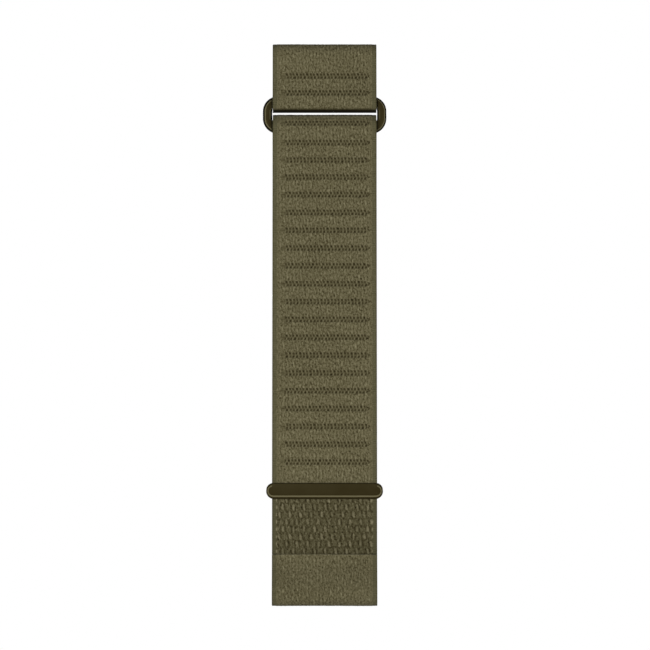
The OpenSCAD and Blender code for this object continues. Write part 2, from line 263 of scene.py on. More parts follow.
# Knots of the webbing's lines: heights on the straight stretches, angles on the turns
TURN_KNOTS = 240
TAIL_Z = np.linspace(Z_TAIL_END, Z_BAR, 1600)
FOLD_A = np.linspace(math.pi, 0, TURN_KNOTS + 1)[1:]
RUN_Z = np.linspace(Z_BAR, Z_LUG, 2000)[1:]
LUG_A = np.linspace(0, -math.pi, TURN_KNOTS + 1)[1:]
FLAP_Z = np.linspace(Z_LUG, Z_LUG - R_LUG + FLAP_LEN - FLAP_ROUND, 200)[1:]
FLAP_A = np.linspace(0, math.pi / 2, 13)[1:]
Z_FLAP_END = FLAP_Z[-1] + FLAP_ROUND


def webbing_line(inside, turn=1):
    """The webbing's face or a depth inside it: up the tail, round the ring, down to the lug, up the flap."""
    ramp = slope(TAIL_Z, Z_BAR - TAIL_RAMP, Z_BAR)
    radius = R_FOLD - inside
    lug_radius = R_LUG - inside
    end = FLAP_ROUND if inside == 0 else 0
    fall = slope(FLAP_Z, Z_LUG, Z_LUG + FLAP_FALL * FLAP_LEN)
    flap = inside + between(Y_LUG - R_LUG, Y_RUN - FLAP_T, fall)
    y = [between(Y_TAIL + inside, -radius, ramp), radius * np.cos(FOLD_A), 0 * RUN_Z + Y_SKIN - inside,
         Y_LUG + lug_radius * np.cos(LUG_A), flap, flap[-1] + end * (1 - np.cos(FLAP_A))]
    z = [TAIL_Z, Z_BAR + radius * np.sin(FOLD_A), RUN_Z, Z_LUG + lug_radius * np.sin(LUG_A), FLAP_Z,
         FLAP_Z[-1] + FLAP_ROUND * np.sin(FLAP_A)]
    return Line(np.concatenate(y), np.concatenate(z), turn)


FACE = webbing_line(0)
MIDDLE = webbing_line(KNIT_T)
LOOPS = webbing_line(WEB_T, -1)
TAIL_TOP = len(TAIL_Z) - 1
FOLD_TOP = TAIL_TOP + len(FOLD_A) // 2
FOLD_END = TAIL_TOP + len(FOLD_A)
RUN_END = FOLD_END + len(RUN_Z)
FLAP_TOP = len(FACE.y) - 1
# Painted highlight: a band of lighter tone across the ring fold's front, this far round its bar
PAINTED_LIGHT_ANGLE = math.radians(123)
PAINTED_LIGHT_CREST = FACE.distance(between(FOLD_END, TAIL_TOP, PAINTED_LIGHT_ANGLE / math.pi))


def tail_knot(z):
    """Where a height lies on the tail, as a knot of the webbing's lines."""
    return np.interp(z, TAIL_Z, np.arange(len(TAIL_Z)))


def run_knot(z):
    """Where a height lies on the inner run, as a knot of the webbing's lines."""
    return np.interp(-z, -RUN_Z, FOLD_END + 1 + np.arange(len(RUN_Z)))


def fold_turn(angle):
    """Share of the tail's turn that the fold follows, at an angle round its bar from the inner run."""
    return angle / math.pi - FOLD_EASE * math.sin(2 * angle) / math.pi


def fold_bend(first, last):
    """Start and end of the bend in one part of the fold, which turns as its neighbours do at its ends."""
    middle, half = (first + last) / 2, R_FOLD * math.sin((last - first) / 2)
    a, b = (unsmooth(fold_turn(angle)) for angle in (first, last))
    length = 2 * half / (b - a)
    start = -half - a * length
    reaches = (start, start + length)
    return [(-reach * math.sin(middle), Z_BAR + reach * math.cos(middle)) for reach in reaches]


def row_heights(first, last):
    """Heights of the rib rows, counted from the uppermost one on the tail."""
    rows = np.arange(first, last)
    shift = np.interp(rows, np.arange(len(ROW_SHIFT) + 1), [*ROW_SHIFT, 0])
    return Z_FOLD - FIRST_ROW - ROW_PITCH * rows - shift


def webbing_rows():
    """Distances along the face at which the rib rows lie, on the tail and on the skin side."""
    front = np.interp(row_heights(0, TAIL_ROWS), FACE.z[:FOLD_TOP], FACE.s[:FOLD_TOP])
    skin_z, skin_s = FACE.z[FOLD_TOP:RUN_END], FACE.s[FOLD_TOP:RUN_END]
    skin = np.interp(-row_heights(1, SKIN_ROWS), -skin_z, skin_s)
    return np.sort(np.concatenate([front, skin]))


def short_line(grow, sag=0.0):
    """Closed outline of the short strap round its tunnels, from its lowest point up the outer face."""
    heights = np.linspace(Z_UPPER_BAR, 0, 200)
    reach = between(R_TUNNEL, R_BORE, heights / Z_UPPER_BAR) + grow
    dip = smooth(DIP_RISE * (1 - abs(2 * heights / Z_UPPER_BAR - 1)))
    top, bottom = R_TUNNEL + grow, R_BORE + grow
    first = np.linspace(-math.pi / 2, -math.pi, 90)[:-1]
    over = np.linspace(math.pi, 0, 180)[1:-1]
    last = np.linspace(0, -math.pi / 2, 90)[1:]
    y = [bottom * np.cos(first), DIP_FRONT * dip - reach, top * np.cos(over), (reach - DIP_BACK * dip)[::-1],
         bottom * np.cos(last)]
    z = [Z_UPPER_BAR + (bottom + sag) * np.sin(first), heights, top * np.sin(over), heights[::-1],
         Z_UPPER_BAR + (bottom + sag) * np.sin(last)]
    return Line(np.concatenate(y), np.concatenate(z))


# Relief of the cloth

# Random sheets: blur across the strap and along it, and whether the slow waves are taken out, which are those
# that a blur of SLOW_WAVES times the spread leaves
SHEETS = {"streak": (0.08, 0.28, True), "lump": (0.2, 0.3, True), "pit": (0.075, 0.1, True),
          "wave": (2.5, 3.5, False), "speck": (0.08, 0.12, True)}
SHEET_SIZE = (24, 96)
SHEET_STEP = 0.1
SLOW_WAVES = 6

# What each field adds to the knit's height and tone: in its pile, with heights as shares of a tuft, and on
# its woven edges and in its rib rows, with heights in millimetres. The darker tone of eyelets, pits and
# channels is partly painted shade, and the lighter tone of raised warps partly painted highlight
PILE_HEIGHT = {"streak": 0.7, "lump": 0.6, "pit": -2.2, "speck": 0.4}
PILE_TONE = {"streak": 0.06, "wale": 0.06, "pit": -0.2, "light": 0.13, "speck": 0.13}
EDGE_HEIGHT = {"turns": 0.012, "warps": 0.012, "streak": 0.006}
EDGE_TONE = {"turns": 0.07, "warps": 0.07, "streak": 0.07}
ROW_HEIGHT = {"warp": 0.04, "channel": -0.08}
ROW_TONE = {"warp": 0.32, "channel": -0.07, "eyelets": -0.48, "tip": -0.3, "thread": -0.2}
MID_TONE = 0.52
PILE_BASE = 0.03
WAVE_HEIGHT = 0.01
# Half width of a band of painted highlight
PAINTED_LIGHT_WIDTH = 0.4
KNIT_PITS = (0.7, 1.9)
LIGHT_STREAKS = (0.9, 2.1)

# Pitches of the woven edge's turns and warps
TURN_PITCH = 0.52
EDGE_WARP_PITCH = 0.235

# Across the strap, in pairs of places where each slope starts and ends: a row's channel, its eyelets, the
# thread at its left end, the calmer pile and the painted edge shade. The tip is at a row's right end
ROW_SPAN = ((-9.5, -8.6), (9.7, 8.6))
EYELET_SPAN = ((-8.5, -8.2), (9.3, 9.0))
THREAD_SPAN = ((-9.3, -9.0), (-8.1, -8.5))
CALM_PILE = (9.1, 9.6)
PAINTED_EDGE_SHADE = (HALF_W - 0.35, HALF_W - 0.05)
TIP_X = 9.45

# A rib row: half its channel's height, where the channel's side starts and ends from there, distance of its
# two lines of eyelets from its middle, how far rows drift sideways, an eyelet's half length and width, a
# raised warp's half width and height, and the eyelets' lean as its cosine and sine
ROW_REACH = 0.62
CHANNEL_SIDE = (0.08, -0.12)
ROW_LINE = 0.34
ROW_DRIFT = 0.11
EYELET_SIZE = (0.3, 0.2)
WARP_SIZE = (0.1, 0.3)
EYELET_LEAN = (0.75, 0.66)

# What each field adds to the loop weave's height and tone, in its ground between the floats and where it is
# rough. The darker tone beside floats is painted shadow, in pits partly painted shade, and on pads partly
# painted highlight
GROUND_HEIGHT = {"pads": 0.06, "beside": -0.05, "threads": 0.018}
GROUND_TONE = {"pads": 0.13, "beside": -0.2, "threads": 0.05}
ROUGH_HEIGHT = {"speck": 0.02, "streak": 0.015, "pit": -0.06}
ROUGH_TONE = {"speck": 0.12, "streak": 0.08, "pit": -0.34}

# A float: warps from one float of a row to the next, its lean, half its length and half its width, each
# with its unevenness, and the rows and columns of uneven floats before they repeat
FLOAT_REPEAT = 3
FLOAT_LEAN = (0.1, 0.09)
FLOAT_HALF_LENGTH = (0.7, 0.07)
FLOAT_HALF_WIDTH = (0.31, 0.03)
FLOAT_TABLE = (61, 53)
LOOP_PITS = (0.6, 1.8)

# The loop weave's depth below its woven edges, the edges' radius, and the place of the stitches inside them
LOOP_DEPTH = 0.14
LOOP_ROUND = 0.15
STITCH_X = 10.05
PLAIN_TONE = 0.4


class Sheet:
    """Smooth random heights on a repeating sheet, with a spread of 1."""

    def __init__(self, seed, blur_x, blur_s, fine):
        shape = tuple(round(side / SHEET_STEP) for side in SHEET_SIZE)
        white = np.random.default_rng(seed).standard_normal(shape)
        fx = np.fft.fftfreq(shape[0], SHEET_STEP)[:, None]
        fs = np.fft.fftfreq(shape[1], SHEET_STEP)[None, :]
        spread = 2 * math.pi ** 2 * ((fx * blur_x) ** 2 + (fs * blur_s) ** 2)
        kernel = np.exp(-spread) - fine * np.exp(-SLOW_WAVES * spread)
        blurred = np.fft.ifft2(np.fft.fft2(white) * kernel).real
        self.heights = (blurred - blurred.mean()) / blurred.std()

    def at(self, x, s):
        """Heights at places on the cloth, between the sheet's four nearest points."""
        across, along = self.heights.shape
        u, v = (x / SHEET_STEP) % across, (s / SHEET_STEP) % along
        i, j = np.floor(u).astype(int) % across, np.floor(v).astype(int) % along
        fu, fv = u - np.floor(u), v - np.floor(v)
        i2, j2 = (i + 1) % across, (j + 1) % along
        h = self.heights
        return ((h[i, j] * (1 - fu) + h[i2, j] * fu) * (1 - fv)
                + (h[i, j2] * (1 - fu) + h[i2, j2] * fu) * fv)


def sheets(context):
    """The random sheets that all cloth pieces share."""
    seed = context.scene.strap_light.seed
    return {name: Sheet(seed + number, *form) for number, (name, form) in enumerate(SHEETS.items())}


def random_fields(noise, x, s, pits):
    """The random sheets' heights at places on the cloth, with the pits as shares from 0 to 1."""
    fields = {name: sheet.at(x, s) for name, sheet in noise.items()}
    fields["pit"] = slope(fields["pit"], *pits)
    return fields


def total(shares, fields):
    """The sum of some fields, each times its share."""
    return sum(share * fields[name] for name, share in shares.items())


def span(x, left, right):
    """1 between two slopes, which are given as the places where they start and end, and 0 outside."""
    return slope(x, *left) * slope(x, *right)


def bump(*parts):
    """A rounded bump, from triples of distance, half width and steepness."""
    return np.exp(-sum((abs(distance) / half) ** steepness for distance, half, steepness in parts))


def edge_rounding(x, radius):
    """How far a rounded outer edge sinks at a place across the strap."""
    into = np.clip(abs(x) - (HALF_W - radius), 0, radius)
    return radius - np.sqrt(radius ** 2 - into ** 2)


def edge_share(x, sizes):
    """0 in the field and 1 on the smooth woven edge."""
    inner = HALF_W - sizes.edge_width / MM
    return slope(abs(x), inner - 0.1, inner + 0.1)


def edge_turns(s, wave):
    """The turns of the thread that goes round the woven edge."""
    return np.sin(2 * math.pi * s / TURN_PITCH + 1.5 * wave)


def rib_rows(x, s, rows, fields, pitch):
    """The fields of the rib rows: channel, raised warps between two lines of eyelets, tip and end thread."""
    nearest = np.argmin(abs(rows[:, None] - np.ravel(s)[None, :]), axis=0)
    t = s - rows[nearest][None, :]
    # Rows differ in how far they drift and in how far their two lines of eyelets are staggered
    drift = ROW_DRIFT * np.sin(2.4 * nearest + 1)[None, :]
    stagger = 0.25 * pitch * (0.55 + 0.45 * np.sin(1.7 * nearest + 1.6))[None, :]
    reach = ROW_REACH * span(x, *ROW_SPAN)
    channel = slope(abs(t), reach + CHANNEL_SIDE[0], reach + CHANNEL_SIDE[1]) * (1 - fields["edge"])
    warp, eyelets = 0, 0
    for side in (-1, 1):
        dt = t - side * ROW_LINE * reach / ROW_REACH
        places = (x + drift + side * stagger + 0.03 * fields["lump"]) / pitch
        # Every third eyelet is a little deeper, and its neighbours lie a little further from it
        third = 2 * math.pi / 3 * (np.round(places) + nearest + side)
        dx = (places - np.round(places)) * pitch - 0.05 * np.sin(third)
        along = dx * EYELET_LEAN[0] - side * dt * EYELET_LEAN[1]
        beside = side * dx * EYELET_LEAN[1] + dt * EYELET_LEAN[0]
        eyelet = bump((along, EYELET_SIZE[0], 2), (beside, EYELET_SIZE[1], 2))
        eyelets = eyelets + eyelet * (0.9 + 0.22 * np.cos(third))
        warp = warp + bump((abs(dx) - pitch / 2, WARP_SIZE[0], 2), (dt, WARP_SIZE[1], 4))
    inside = span(x, *EYELET_SPAN) * channel
    return {
        "channel": channel,
        "warp": warp * inside,
        "eyelets": np.clip(eyelets, 0, 1) * inside * (0.85 + 0.15 * fields["speck"]),
        "tip": bump((x - TIP_X + 0.8 * abs(t), 0.2, 2), (t, 0.32, 4)),
        "thread": bump((t, 0.1, 2)) * span(x, *THREAD_SPAN),
    }


def knit_relief(context, rows, painted_light_at=None):
    """Height, tone, edge share and calm of the ribbed knit, as a function of the places on it."""
    sizes = context.scene.strap_sizes
    noise = sheets(context)
    pitch = sizes.eyelet_pitch / MM

    def relief(x, s):
        fields = random_fields(noise, x, s, KNIT_PITS)
        streak, wave = fields["streak"], fields["wave"]
        edge = edge_share(x, sizes) + 0 * s
        wale = np.cos(2 * math.pi * (x + 0.04 * fields["lump"]) / pitch)
        warps = np.cos(2 * math.pi * (HALF_W - abs(x)) / EDGE_WARP_PITCH)
        fields.update(edge=edge, wale=wale * (1 + 0.8 * streak), light=slope(streak, *LIGHT_STREAKS),
                      turns=edge_turns(s, wave), warps=warps)
        pile = (1 - edge) * (1 - 0.4 * slope(abs(x), *CALM_PILE))
        height = PILE_BASE + pile * sizes.tuft / MM * total(PILE_HEIGHT, fields) + WAVE_HEIGHT * wave
        tone = MID_TONE + 0.012 * wave + pile * total(PILE_TONE, fields)
        calm = 0.2 * edge
        height += edge * total(EDGE_HEIGHT, fields)
        tone += edge * total(EDGE_TONE, fields)
        if len(rows):
            row = rib_rows(x, s, rows, fields, pitch)
            calm = np.maximum(calm, row["channel"])
            height += total(ROW_HEIGHT, row) - row["eyelets"] * sizes.eyelet_depth / MM
            # Eyelets and channels darker in tone, partly painted shade, and raised warps lighter, partly
            # painted highlight
            tone = between(tone, MID_TONE, 0.7 * row["channel"]) + total(ROW_TONE, row)
        # Painted highlight: lighter tone in a band round one place along the face
        if painted_light_at is not None:
            tone += 0.3 * bump((s - painted_light_at, PAINTED_LIGHT_WIDTH, 2))
        height -= edge * sizes.pile / MM + edge_rounding(x, sizes.edge_round / MM)
        # Painted shade along the rounded outer edge
        tone -= 0.3 * slope(abs(x), *PAINTED_EDGE_SHADE)
        return height, np.clip(tone, 0.1, 1), edge, calm

    return relief


def loop_relief(context):
    """Height, tone, edge share and calm of the loop weave, as a function of the places on it."""
    sizes = context.scene.strap_sizes
    noise = sheets(context)
    warp, pitch = sizes.warp_pitch / MM, sizes.float_pitch / MM
    repeat = FLOAT_REPEAT * warp
    first = LOOPS.distance(run_knot(FIRST_FLOAT_Z))
    tables = np.random.default_rng(context.scene.strap_light.seed + 9).uniform(-1, 1, (3, *FLOAT_TABLE))

    def relief(x, s):
        fields = random_fields(noise, x, s, LOOP_PITS)
        edge = edge_share(x, sizes) + 0 * s
        field = 1 - edge
        row = np.round((s - first) / pitch)
        ds = s - first - row * pitch
        # Each row's floats lie one warp further to the left than those of the row before it
        from_first = x - FIRST_FLOAT_X + warp * row
        column = np.round(from_first / repeat)
        pick = (row.astype(int) % FLOAT_TABLE[0], column.astype(int) % FLOAT_TABLE[1])
        lean, size, bright = (table[pick] for table in tables)
        dx = from_first - repeat * column - (FLOAT_LEAN[0] + FLOAT_LEAN[1] * lean) * ds + 0.04 * size
        half_length = FLOAT_HALF_LENGTH[0] + FLOAT_HALF_LENGTH[1] * size
        half_width = FLOAT_HALF_WIDTH[0] + FLOAT_HALF_WIDTH[1] * bright
        full = 1 - (ds / half_length) ** 4 - (dx / half_width) ** 2
        floats = np.sqrt(np.clip(full, 0, 1)) * field
        pads = bump((abs(dx) - repeat / 2, 0.4, 4), (ds + 0.2 * lean, 0.52, 4))
        ribs = np.cos(4 * math.pi * (x - FIRST_FLOAT_X) / warp)
        fields.update(pads=pads, beside=bump((abs(dx) - 0.38, 0.13, 2), (ds, 0.6, 4)),
                      threads=ribs * np.cos(2 * math.pi * s / 0.31) + 0.5 * ribs)
        rough = (1 - 0.6 * pads) * (1 - 0.4 * floats)
        ground = total(GROUND_HEIGHT, fields) + rough * total(ROUGH_HEIGHT, fields)
        lift = sizes.float_height / MM * (0.85 + 0.15 * size)
        height = field * (ground * (1 - floats) + lift * floats - LOOP_DEPTH) + 0.008 * fields["wave"]
        # Partly painted shade and highlight: the ground between floats darker, and the floats lighter
        tone = 0.5 + 0.02 * fields["wave"] + field * (
            (1 - floats) * (total(GROUND_TONE, fields) - 0.08)
            + rough * total(ROUGH_TONE, fields)
            + floats * (0.26 + 0.08 * bright))
        stitch = bump((abs(x) - STITCH_X, 0.14, 2)) * np.clip(1 - (ds / 0.45) ** 2, 0, 1)
        edge = edge * (1 - stitch)
        turns = edge_turns(s, fields["wave"])
        height += 0.1 * stitch + edge * (0.012 * turns - 0.04) - edge_rounding(x, LOOP_ROUND)
        tone += (0.75 + 0.15 * np.sin(5 * row) - 0.4 * (x > 0)) * stitch
        # Painted shade along the rounded outer edge
        tone += edge * (0.05 * turns - 0.06) - 0.3 * slope(abs(x), *PAINTED_EDGE_SHADE)
        calm = np.maximum(0.7 * edge, 0.6 * floats + 0.4 * pads * (1 - edge))
        return height, np.clip(tone, 0.1, 1), edge, calm

    return relief


def plain_relief(x, s):
    """Height, tone, edge share and calm of plain tape and of cloth that is folded out of sight."""
    flat = 0 * x + 0 * s
    return flat, flat + PLAIN_TONE, flat, flat


# Cloth meshes

# Columns of the rounded edges, in from the edge, and how much wider the columns of plain cloth are
EDGE_COLUMNS = np.array([0, 0.03, 0.1, 0.19, 0.28])
EDGE_ZONE = 0.35
COARSE = 4

# Steps along the strap: over a rib row, on the knit between them, on the loop weave and on hidden sides
ROW_STEP = 0.1
KNIT_STEP = 0.22
LOOP_STEP = 0.17
HIDDEN_STEP = 0.8

# Points of a tunnel's outline, turn from which an edge is hard, tone of the sides that don't show, and the
# rows of a layer without ribs
HOLE_POINTS = 56
HARD_TURN = math.radians(35)
HIDDEN_TONE = 0.38
NO_ROWS = np.array([])


def columns(context, coarse=False):
    """Places of a cloth mesh's columns across the strap, closest at its rounded edges."""
    step = context.scene.strap_sizes.step / MM * (COARSE if coarse else 1)
    inner = HALF_W - EDGE_ZONE
    sides = EDGE_COLUMNS - HALF_W
    return np.concatenate([sides, np.linspace(-inner, inner, round(2 * inner / step) + 1), -sides[::-1]])


def spaced(start, end, rows, step=KNIT_STEP):
    """Distances from start to end along a face, close together over its rib rows."""
    marks = [edge for row in rows for edge in (row - ROW_ZONE, row + ROW_ZONE) if start < edge < end]
    marks = [start, *sorted(marks), end]
    runs = []
    for a, b in zip(marks, marks[1:]):
        on_row = len(rows) and abs(rows - (a + b) / 2).min() < ROW_ZONE
        count = max(1, math.ceil((b - a) / (ROW_STEP if on_row else step) - 1e-6))
        runs.append(np.linspace(a, b, count, endpoint=False))
    return np.concatenate([*runs, [end]])


def loop_of(line, s, shown=True, depth=0.0):
    """Part of a closed side-view outline: its points, outward directions, places on the cloth and depth."""
    y, z, ny, nz = line.at(s)
    flat = np.zeros(len(s))
    return {"y": y, "z": z, "ny": ny, "nz": nz, "s": np.array(s, float), "shown": flat + shown,
            "depth": flat + depth}


def join(*parts):
    """Parts of an outline, or whole outlines, one after another."""
    return {key: np.concatenate([p[key] for p in parts]) for key in parts[0]}


def hidden_side(face, start, end, depth):
    """The side of a layer that lies on its neighbour, from the end knot back to the start."""
    count = max(2, math.ceil(abs(MIDDLE.distance(end) - MIDDLE.distance(start)) / HIDDEN_STEP) + 1)
    knots = np.linspace(end, start, count)
    part = loop_of(MIDDLE, MIDDLE.distance(knots), False, depth)
    part["s"] = face.distance(knots)
    return part


def circle_loop(y, z, radius):
    """A round hole in the side view."""
    a = np.linspace(0, -2 * math.pi, HOLE_POINTS, endpoint=False)
    flat = np.zeros(HOLE_POINTS)
    return {"y": y + radius * np.cos(a), "z": z + radius * np.sin(a), "ny": flat, "nz": flat,
            "s": radius * a, "shown": flat, "depth": flat + 1}


def facing(loop, hole):
    """The loop turned so that its solid lies on the left of travel, or on the right for a hole."""
    y, z = loop["y"], loop["z"]
    area = np.sum(y * np.roll(z, -1) - np.roll(y, -1) * z)
    return {key: value[::-1] for key, value in loop.items()} if (area > 0) == hole else loop


def corners(loop):
    """Where an outline turns so sharply that it keeps a hard edge."""
    y, z = loop["y"], loop["z"]
    dy, dz = np.roll(y, -1) - y, np.roll(z, -1) - z
    before_y, before_z = np.roll(dy, 1), np.roll(dz, 1)
    turn = np.arctan2(before_y * dz - before_z * dy, before_y * dy + before_z * dz)
    return abs(turn) > HARD_TURN


def mesh_object(name, points, faces, finish, attributes=()):
    """An object of a closed mesh, from points in millimetres, with its finish and its point attributes."""
    mesh = bpy.data.meshes.new(name)
    sizes = [len(face) for face in faces]
    face_points = np.concatenate(faces)
    starts = np.cumsum([0, *sizes[:-1]])
    mesh.vertices.add(len(points))
    mesh.vertices.foreach_set("co", (np.asarray(points) * MM).astype(np.float32).ravel())
    mesh.loops.add(len(face_points))
    mesh.loops.foreach_set("vertex_index", face_points.astype(np.int32))
    mesh.polygons.add(len(sizes))
    mesh.polygons.foreach_set("loop_start", starts.astype(np.int32))
    mesh.polygons.foreach_set("use_smooth", np.ones(len(sizes), bool))
    mesh.update(calc_edges=True)
    for key, values in attributes:
        kind, field = ("FLOAT_VECTOR", "vector") if values.ndim == 2 else ("FLOAT", "value")
        mesh.attributes.new(key, kind, "POINT").data.foreach_set(field, values.astype(np.float32).ravel())
    mesh.materials.append(finish)
    piece = bpy.data.objects.new(name, mesh)
    bpy.context.scene.collection.objects.link(piece)
    return piece


def mark_hard(mesh, hard):
    """Marks edges as hard, from a test of their two points' numbers."""
    ends = np.empty(len(mesh.edges) * 2, np.int32)
    mesh.edges.foreach_get("vertices", ends)
    first, second = ends.reshape(-1, 2).T
    mesh.attributes.new("sharp_edge", "BOOLEAN", "EDGE").data.foreach_set("value", hard(first, second))


def side_face(flat, parts, side):
    """Triangles between the outlines at one side of a cloth mesh, each turned outward."""
    rings = [[(*point, 0) for point in flat[part]] for part in parts]
    triangles = []
    for triangle in tessellate_polygon(rings):
        p, q, r = (flat[k] for k in triangle)
        area = (q[0] - p[0]) * (r[1] - p[1]) - (q[1] - p[1]) * (r[0] - p[0])
        triangles.append(np.array(triangle if area * side > 0 else triangle[::-1]))
    return triangles


def cloth_piece(name, loops, relief, xs, finish):
    """A closed piece of cloth: side-view outlines run across the strap, with relief on their shown sides."""
    loops = [facing(loop, number > 0) for number, loop in enumerate(loops)]
    both = join(*loops)
    shown = both["shown"]
    count, last = len(both["y"]), len(xs) - 1
    x = xs[:, None]
    height, tone, edge, calm = relief(x, both["s"][None, :])
    height = height * shown
    tone = between(HIDDEN_TONE, tone, shown)
    y, z = both["y"] + both["ny"] * height, both["z"] + both["nz"] * height
    pinch = SLIT_PINCH * bump((both["z"] - SLIT_Z, SLIT_REACH, 8))
    spread = x * (1 + between(*FLARE, both["z"] / Z_LUG) - pinch)
    points = np.stack([spread, y, z], axis=-1).reshape(-1, 3)
    places = np.stack(np.broadcast_arrays(x, both["s"], both["depth"]), axis=-1).reshape(-1, 3)
    starts = np.cumsum([0] + [len(loop["y"]) for loop in loops])
    parts = [np.arange(a, b) for a, b in zip(starts, starts[1:])]
    rows = np.arange(last)[:, None] * count
    faces = []
    for part in parts:
        here, following = rows + part, rows + np.roll(part, -1)
        faces += list(np.stack([here, following, following + count, here + count], axis=-1).reshape(-1, 4))
    for column, side in ((0, -1), (last, 1)):
        flat = np.stack([y[column], z[column]], axis=-1)
        faces += [triangle + column * count for triangle in side_face(flat, parts, side)]
    piece = mesh_object(name, points, faces, finish, (
        ("tone", tone.ravel()), ("edge", (edge * shown).ravel()),
        ("calm", np.broadcast_to(calm, y.shape).ravel()), ("cloth", places)))
    corner = np.concatenate([corners(loop) for loop in loops])

    def hard(a, b):
        """Edges round the two side faces, and along the strap's width where an outline has a corner."""
        same_column = a // count == b // count
        at_side = (a // count == 0) | (a // count == last)
        return (same_column & at_side) | ((a % count == b % count) & corner[a % count])

    mark_hard(piece.data, hard)
    return piece


def dress(piece, slot, *nodes, body=None, bend=None):
    """Puts a piece in place of its nodes, on one body, or with its transform baked in where a bend is given.
    """
    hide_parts(*nodes)
    if bend:
        first, second, start, end = bend
        [v * MM for v in (0, *start)]
        [v * MM for v in (0, *end)]
        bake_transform(piece)
    else:
        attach(piece, body)


def layer(context, node, knots, knit, body=None, bend=None, end="", plain=False):
    """One layer of the webbing between two knots, in place of its node. Only a loop layer may be plain."""
    if knit:
        face, rows, step, thick, slot = FACE, webbing_rows(), KNIT_STEP, KNIT_T, "ribbed_knit"
        relief, finish = knit_relief(context, rows, PAINTED_LIGHT_CREST), knit_finish(context)
    else:
        face, rows, step, thick, slot = LOOPS, NO_ROWS, LOOP_STEP, WEB_T - KNIT_T, "loop_weave"
        relief, finish = plain_relief if plain else loop_relief(context), loop_finish(context)
    shown = loop_of(face, spaced(face.distance(knots[0]), face.distance(knots[1]), rows, step))
    outline = join(shown, hidden_side(face, *knots, thick))
    piece = cloth_piece(f"{node}{end}_cloth", [outline], relief, columns(context, plain), finish)
    dress(piece, slot, node, body=body, bend=bend)


# Finishes


class Wire:
    """A value in a node tree. Python's operators on it add Math nodes."""

    def __init__(self, nodes, socket):
        self.nodes, self.socket = nodes, socket

    def __add__(self, other):
        return self.nodes.maths("ADD", self, other)

    def __sub__(self, other):
        return self.nodes.maths("SUBTRACT", self, other)

    def __rsub__(self, other):
        return self.nodes.maths("SUBTRACT", other, self)

    def __mul__(self, other):
        return self.nodes.maths("MULTIPLY", self, other)

    __radd__ = __add__
    __rmul__ = __mul__


class Nodes:
    """A node tree under construction, with one way to add any node."""

    def __init__(self, tree):
        self.tree = tree

    def add(self, kind, settings=None, inputs=None):
        """A node of a kind, with its settings made first and then its sockets' values or links."""
        node = self.tree.nodes.new("ShaderNode" + kind)
        for key, value in (settings or {}).items():
            if key == "stops":
                ramp = node.color_ramp.elements
                while len(ramp) < len(value):
                    ramp.new(0.5)
                for stop, (position, colour) in zip(ramp, value):
                    stop.position = position
                    stop.color = (*colour, 1)
            else:
                setattr(node, key, value)
        for key, value in (inputs or {}).items():
            if isinstance(value, Wire):
                self.tree.links.new(value.socket, node.inputs[key])
            else:
                node.inputs[key].default_value = value
        return node

    def wire(self, node, output=0):
        """The value of a node's output."""
        return Wire(self, node.outputs[output])

    def maths(self, operation, *values):
        """The result of a Math node."""
        return self.wire(self.add("Math", {"operation": operation}, dict(enumerate(values))))

    def attribute(self, name, output="Fac"):
        """A mesh's attribute, as a number or as a vector."""
        return self.wire(self.add("Attribute", {"attribute_name": name}), output)

    def noise(self, vector, stretch, detail, roughness):
        """Noise over a vector that is stretched first, each way by its own number."""
        stretched = self.add("VectorMath", {"operation": "MULTIPLY"}, {0: vector, 1: stretch})
        return self.wire(self.add("TexNoise", {"noise_dimensions": "3D"}, {
            "Vector": self.wire(stretched), "Scale": 1.0, "Detail": detail, "Roughness": roughness}))

    def ramp(self, value, stops):
        """A colour from a ramp."""
        return self.wire(self.add("ValToRGB", {"stops": stops}, {0: value}))

    def mixed(self, share, a, b):
        """A mix of two colours. A Mix node has its colours at inputs 6 and 7 and their mix at output 2."""
        colours = {key: value if isinstance(value, Wire) else (*value, 1) for key, value in ((6, a), (7, b))}
        return self.wire(self.add("Mix", {"data_type": "RGBA"}, {0: share, **colours}), 2)

    def bump(self, height, strength, distance):
        """A normal that follows a height."""
        heights = {"Height": height, "Strength": strength, "Distance": distance}
        return self.wire(self.add("Bump", None, heights))


class Finish(Nodes):
    """A material under construction, with constant values set on its shader's own sockets."""

    def __init__(self, name, **constants):
        self.material = bpy.data.materials.new(name)
        self.material.use_nodes = True
        super().__init__(self.material.node_tree)
        self.shader = self.tree.nodes["Principled BSDF"]
        for socket, value in constants.items():
            self.shader.inputs[socket.replace("_", " ")].default_value = value

    def set(self, socket, wire):
        """Feeds a value to one of the shader's sockets."""
        self.tree.links.new(wire.socket, self.shader.inputs[socket])


# Fineness of each noise along its three directions, for a millimetre of cloth and for a metre of the others
PILE_FIBRES = (6.5, 3.4, 5.0)
LINING_FIBRES = (3.0, 5.0, 4.0)
FUZZ = (13.0, 9.0, 11.0)
PATCHES = (0.22, 0.16, 0.2)
METAL_GRAIN = (900.0, 900.0, 2600.0)
METAL_CLOUD = (120.0, 120.0, 120.0)
PLASTIC_HAZE = (1500.0, 1500.0, 1500.0)
FLOOR_GRAIN = (60.0, 60.0, 60.0)

# Depths of the bumps, pitch of the fine turns on a woven edge and the share of the edge colour there
FIBRE_DEPTH = 0.09
GRAIN_DEPTH = 0.01
HAZE_DEPTH = 0.02
FINE_TURNS = 0.46
EDGE_COLOUR = 0.55

# Metal: roughness, brightness of the coat and of the painted bevel highlights as a share of their colour,
# and brightness of the painted shade on the rims as a share of the coat's
RING_METAL = (0.42, 1.0, 0.76, 0.1)
PLATE_METAL = (0.45, 0.92, 0.9, 0.65)
RIVET_METAL = (0.3, 1.0, 1.0, 0.42)


def made(name, maker, *values):
    """A finish by its name, made on first use."""
    return bpy.data.materials.get(name) or maker(name, *values)


def shaded(colour, share):
    """A colour made darker or lighter."""
    return [share * v for v in colour]


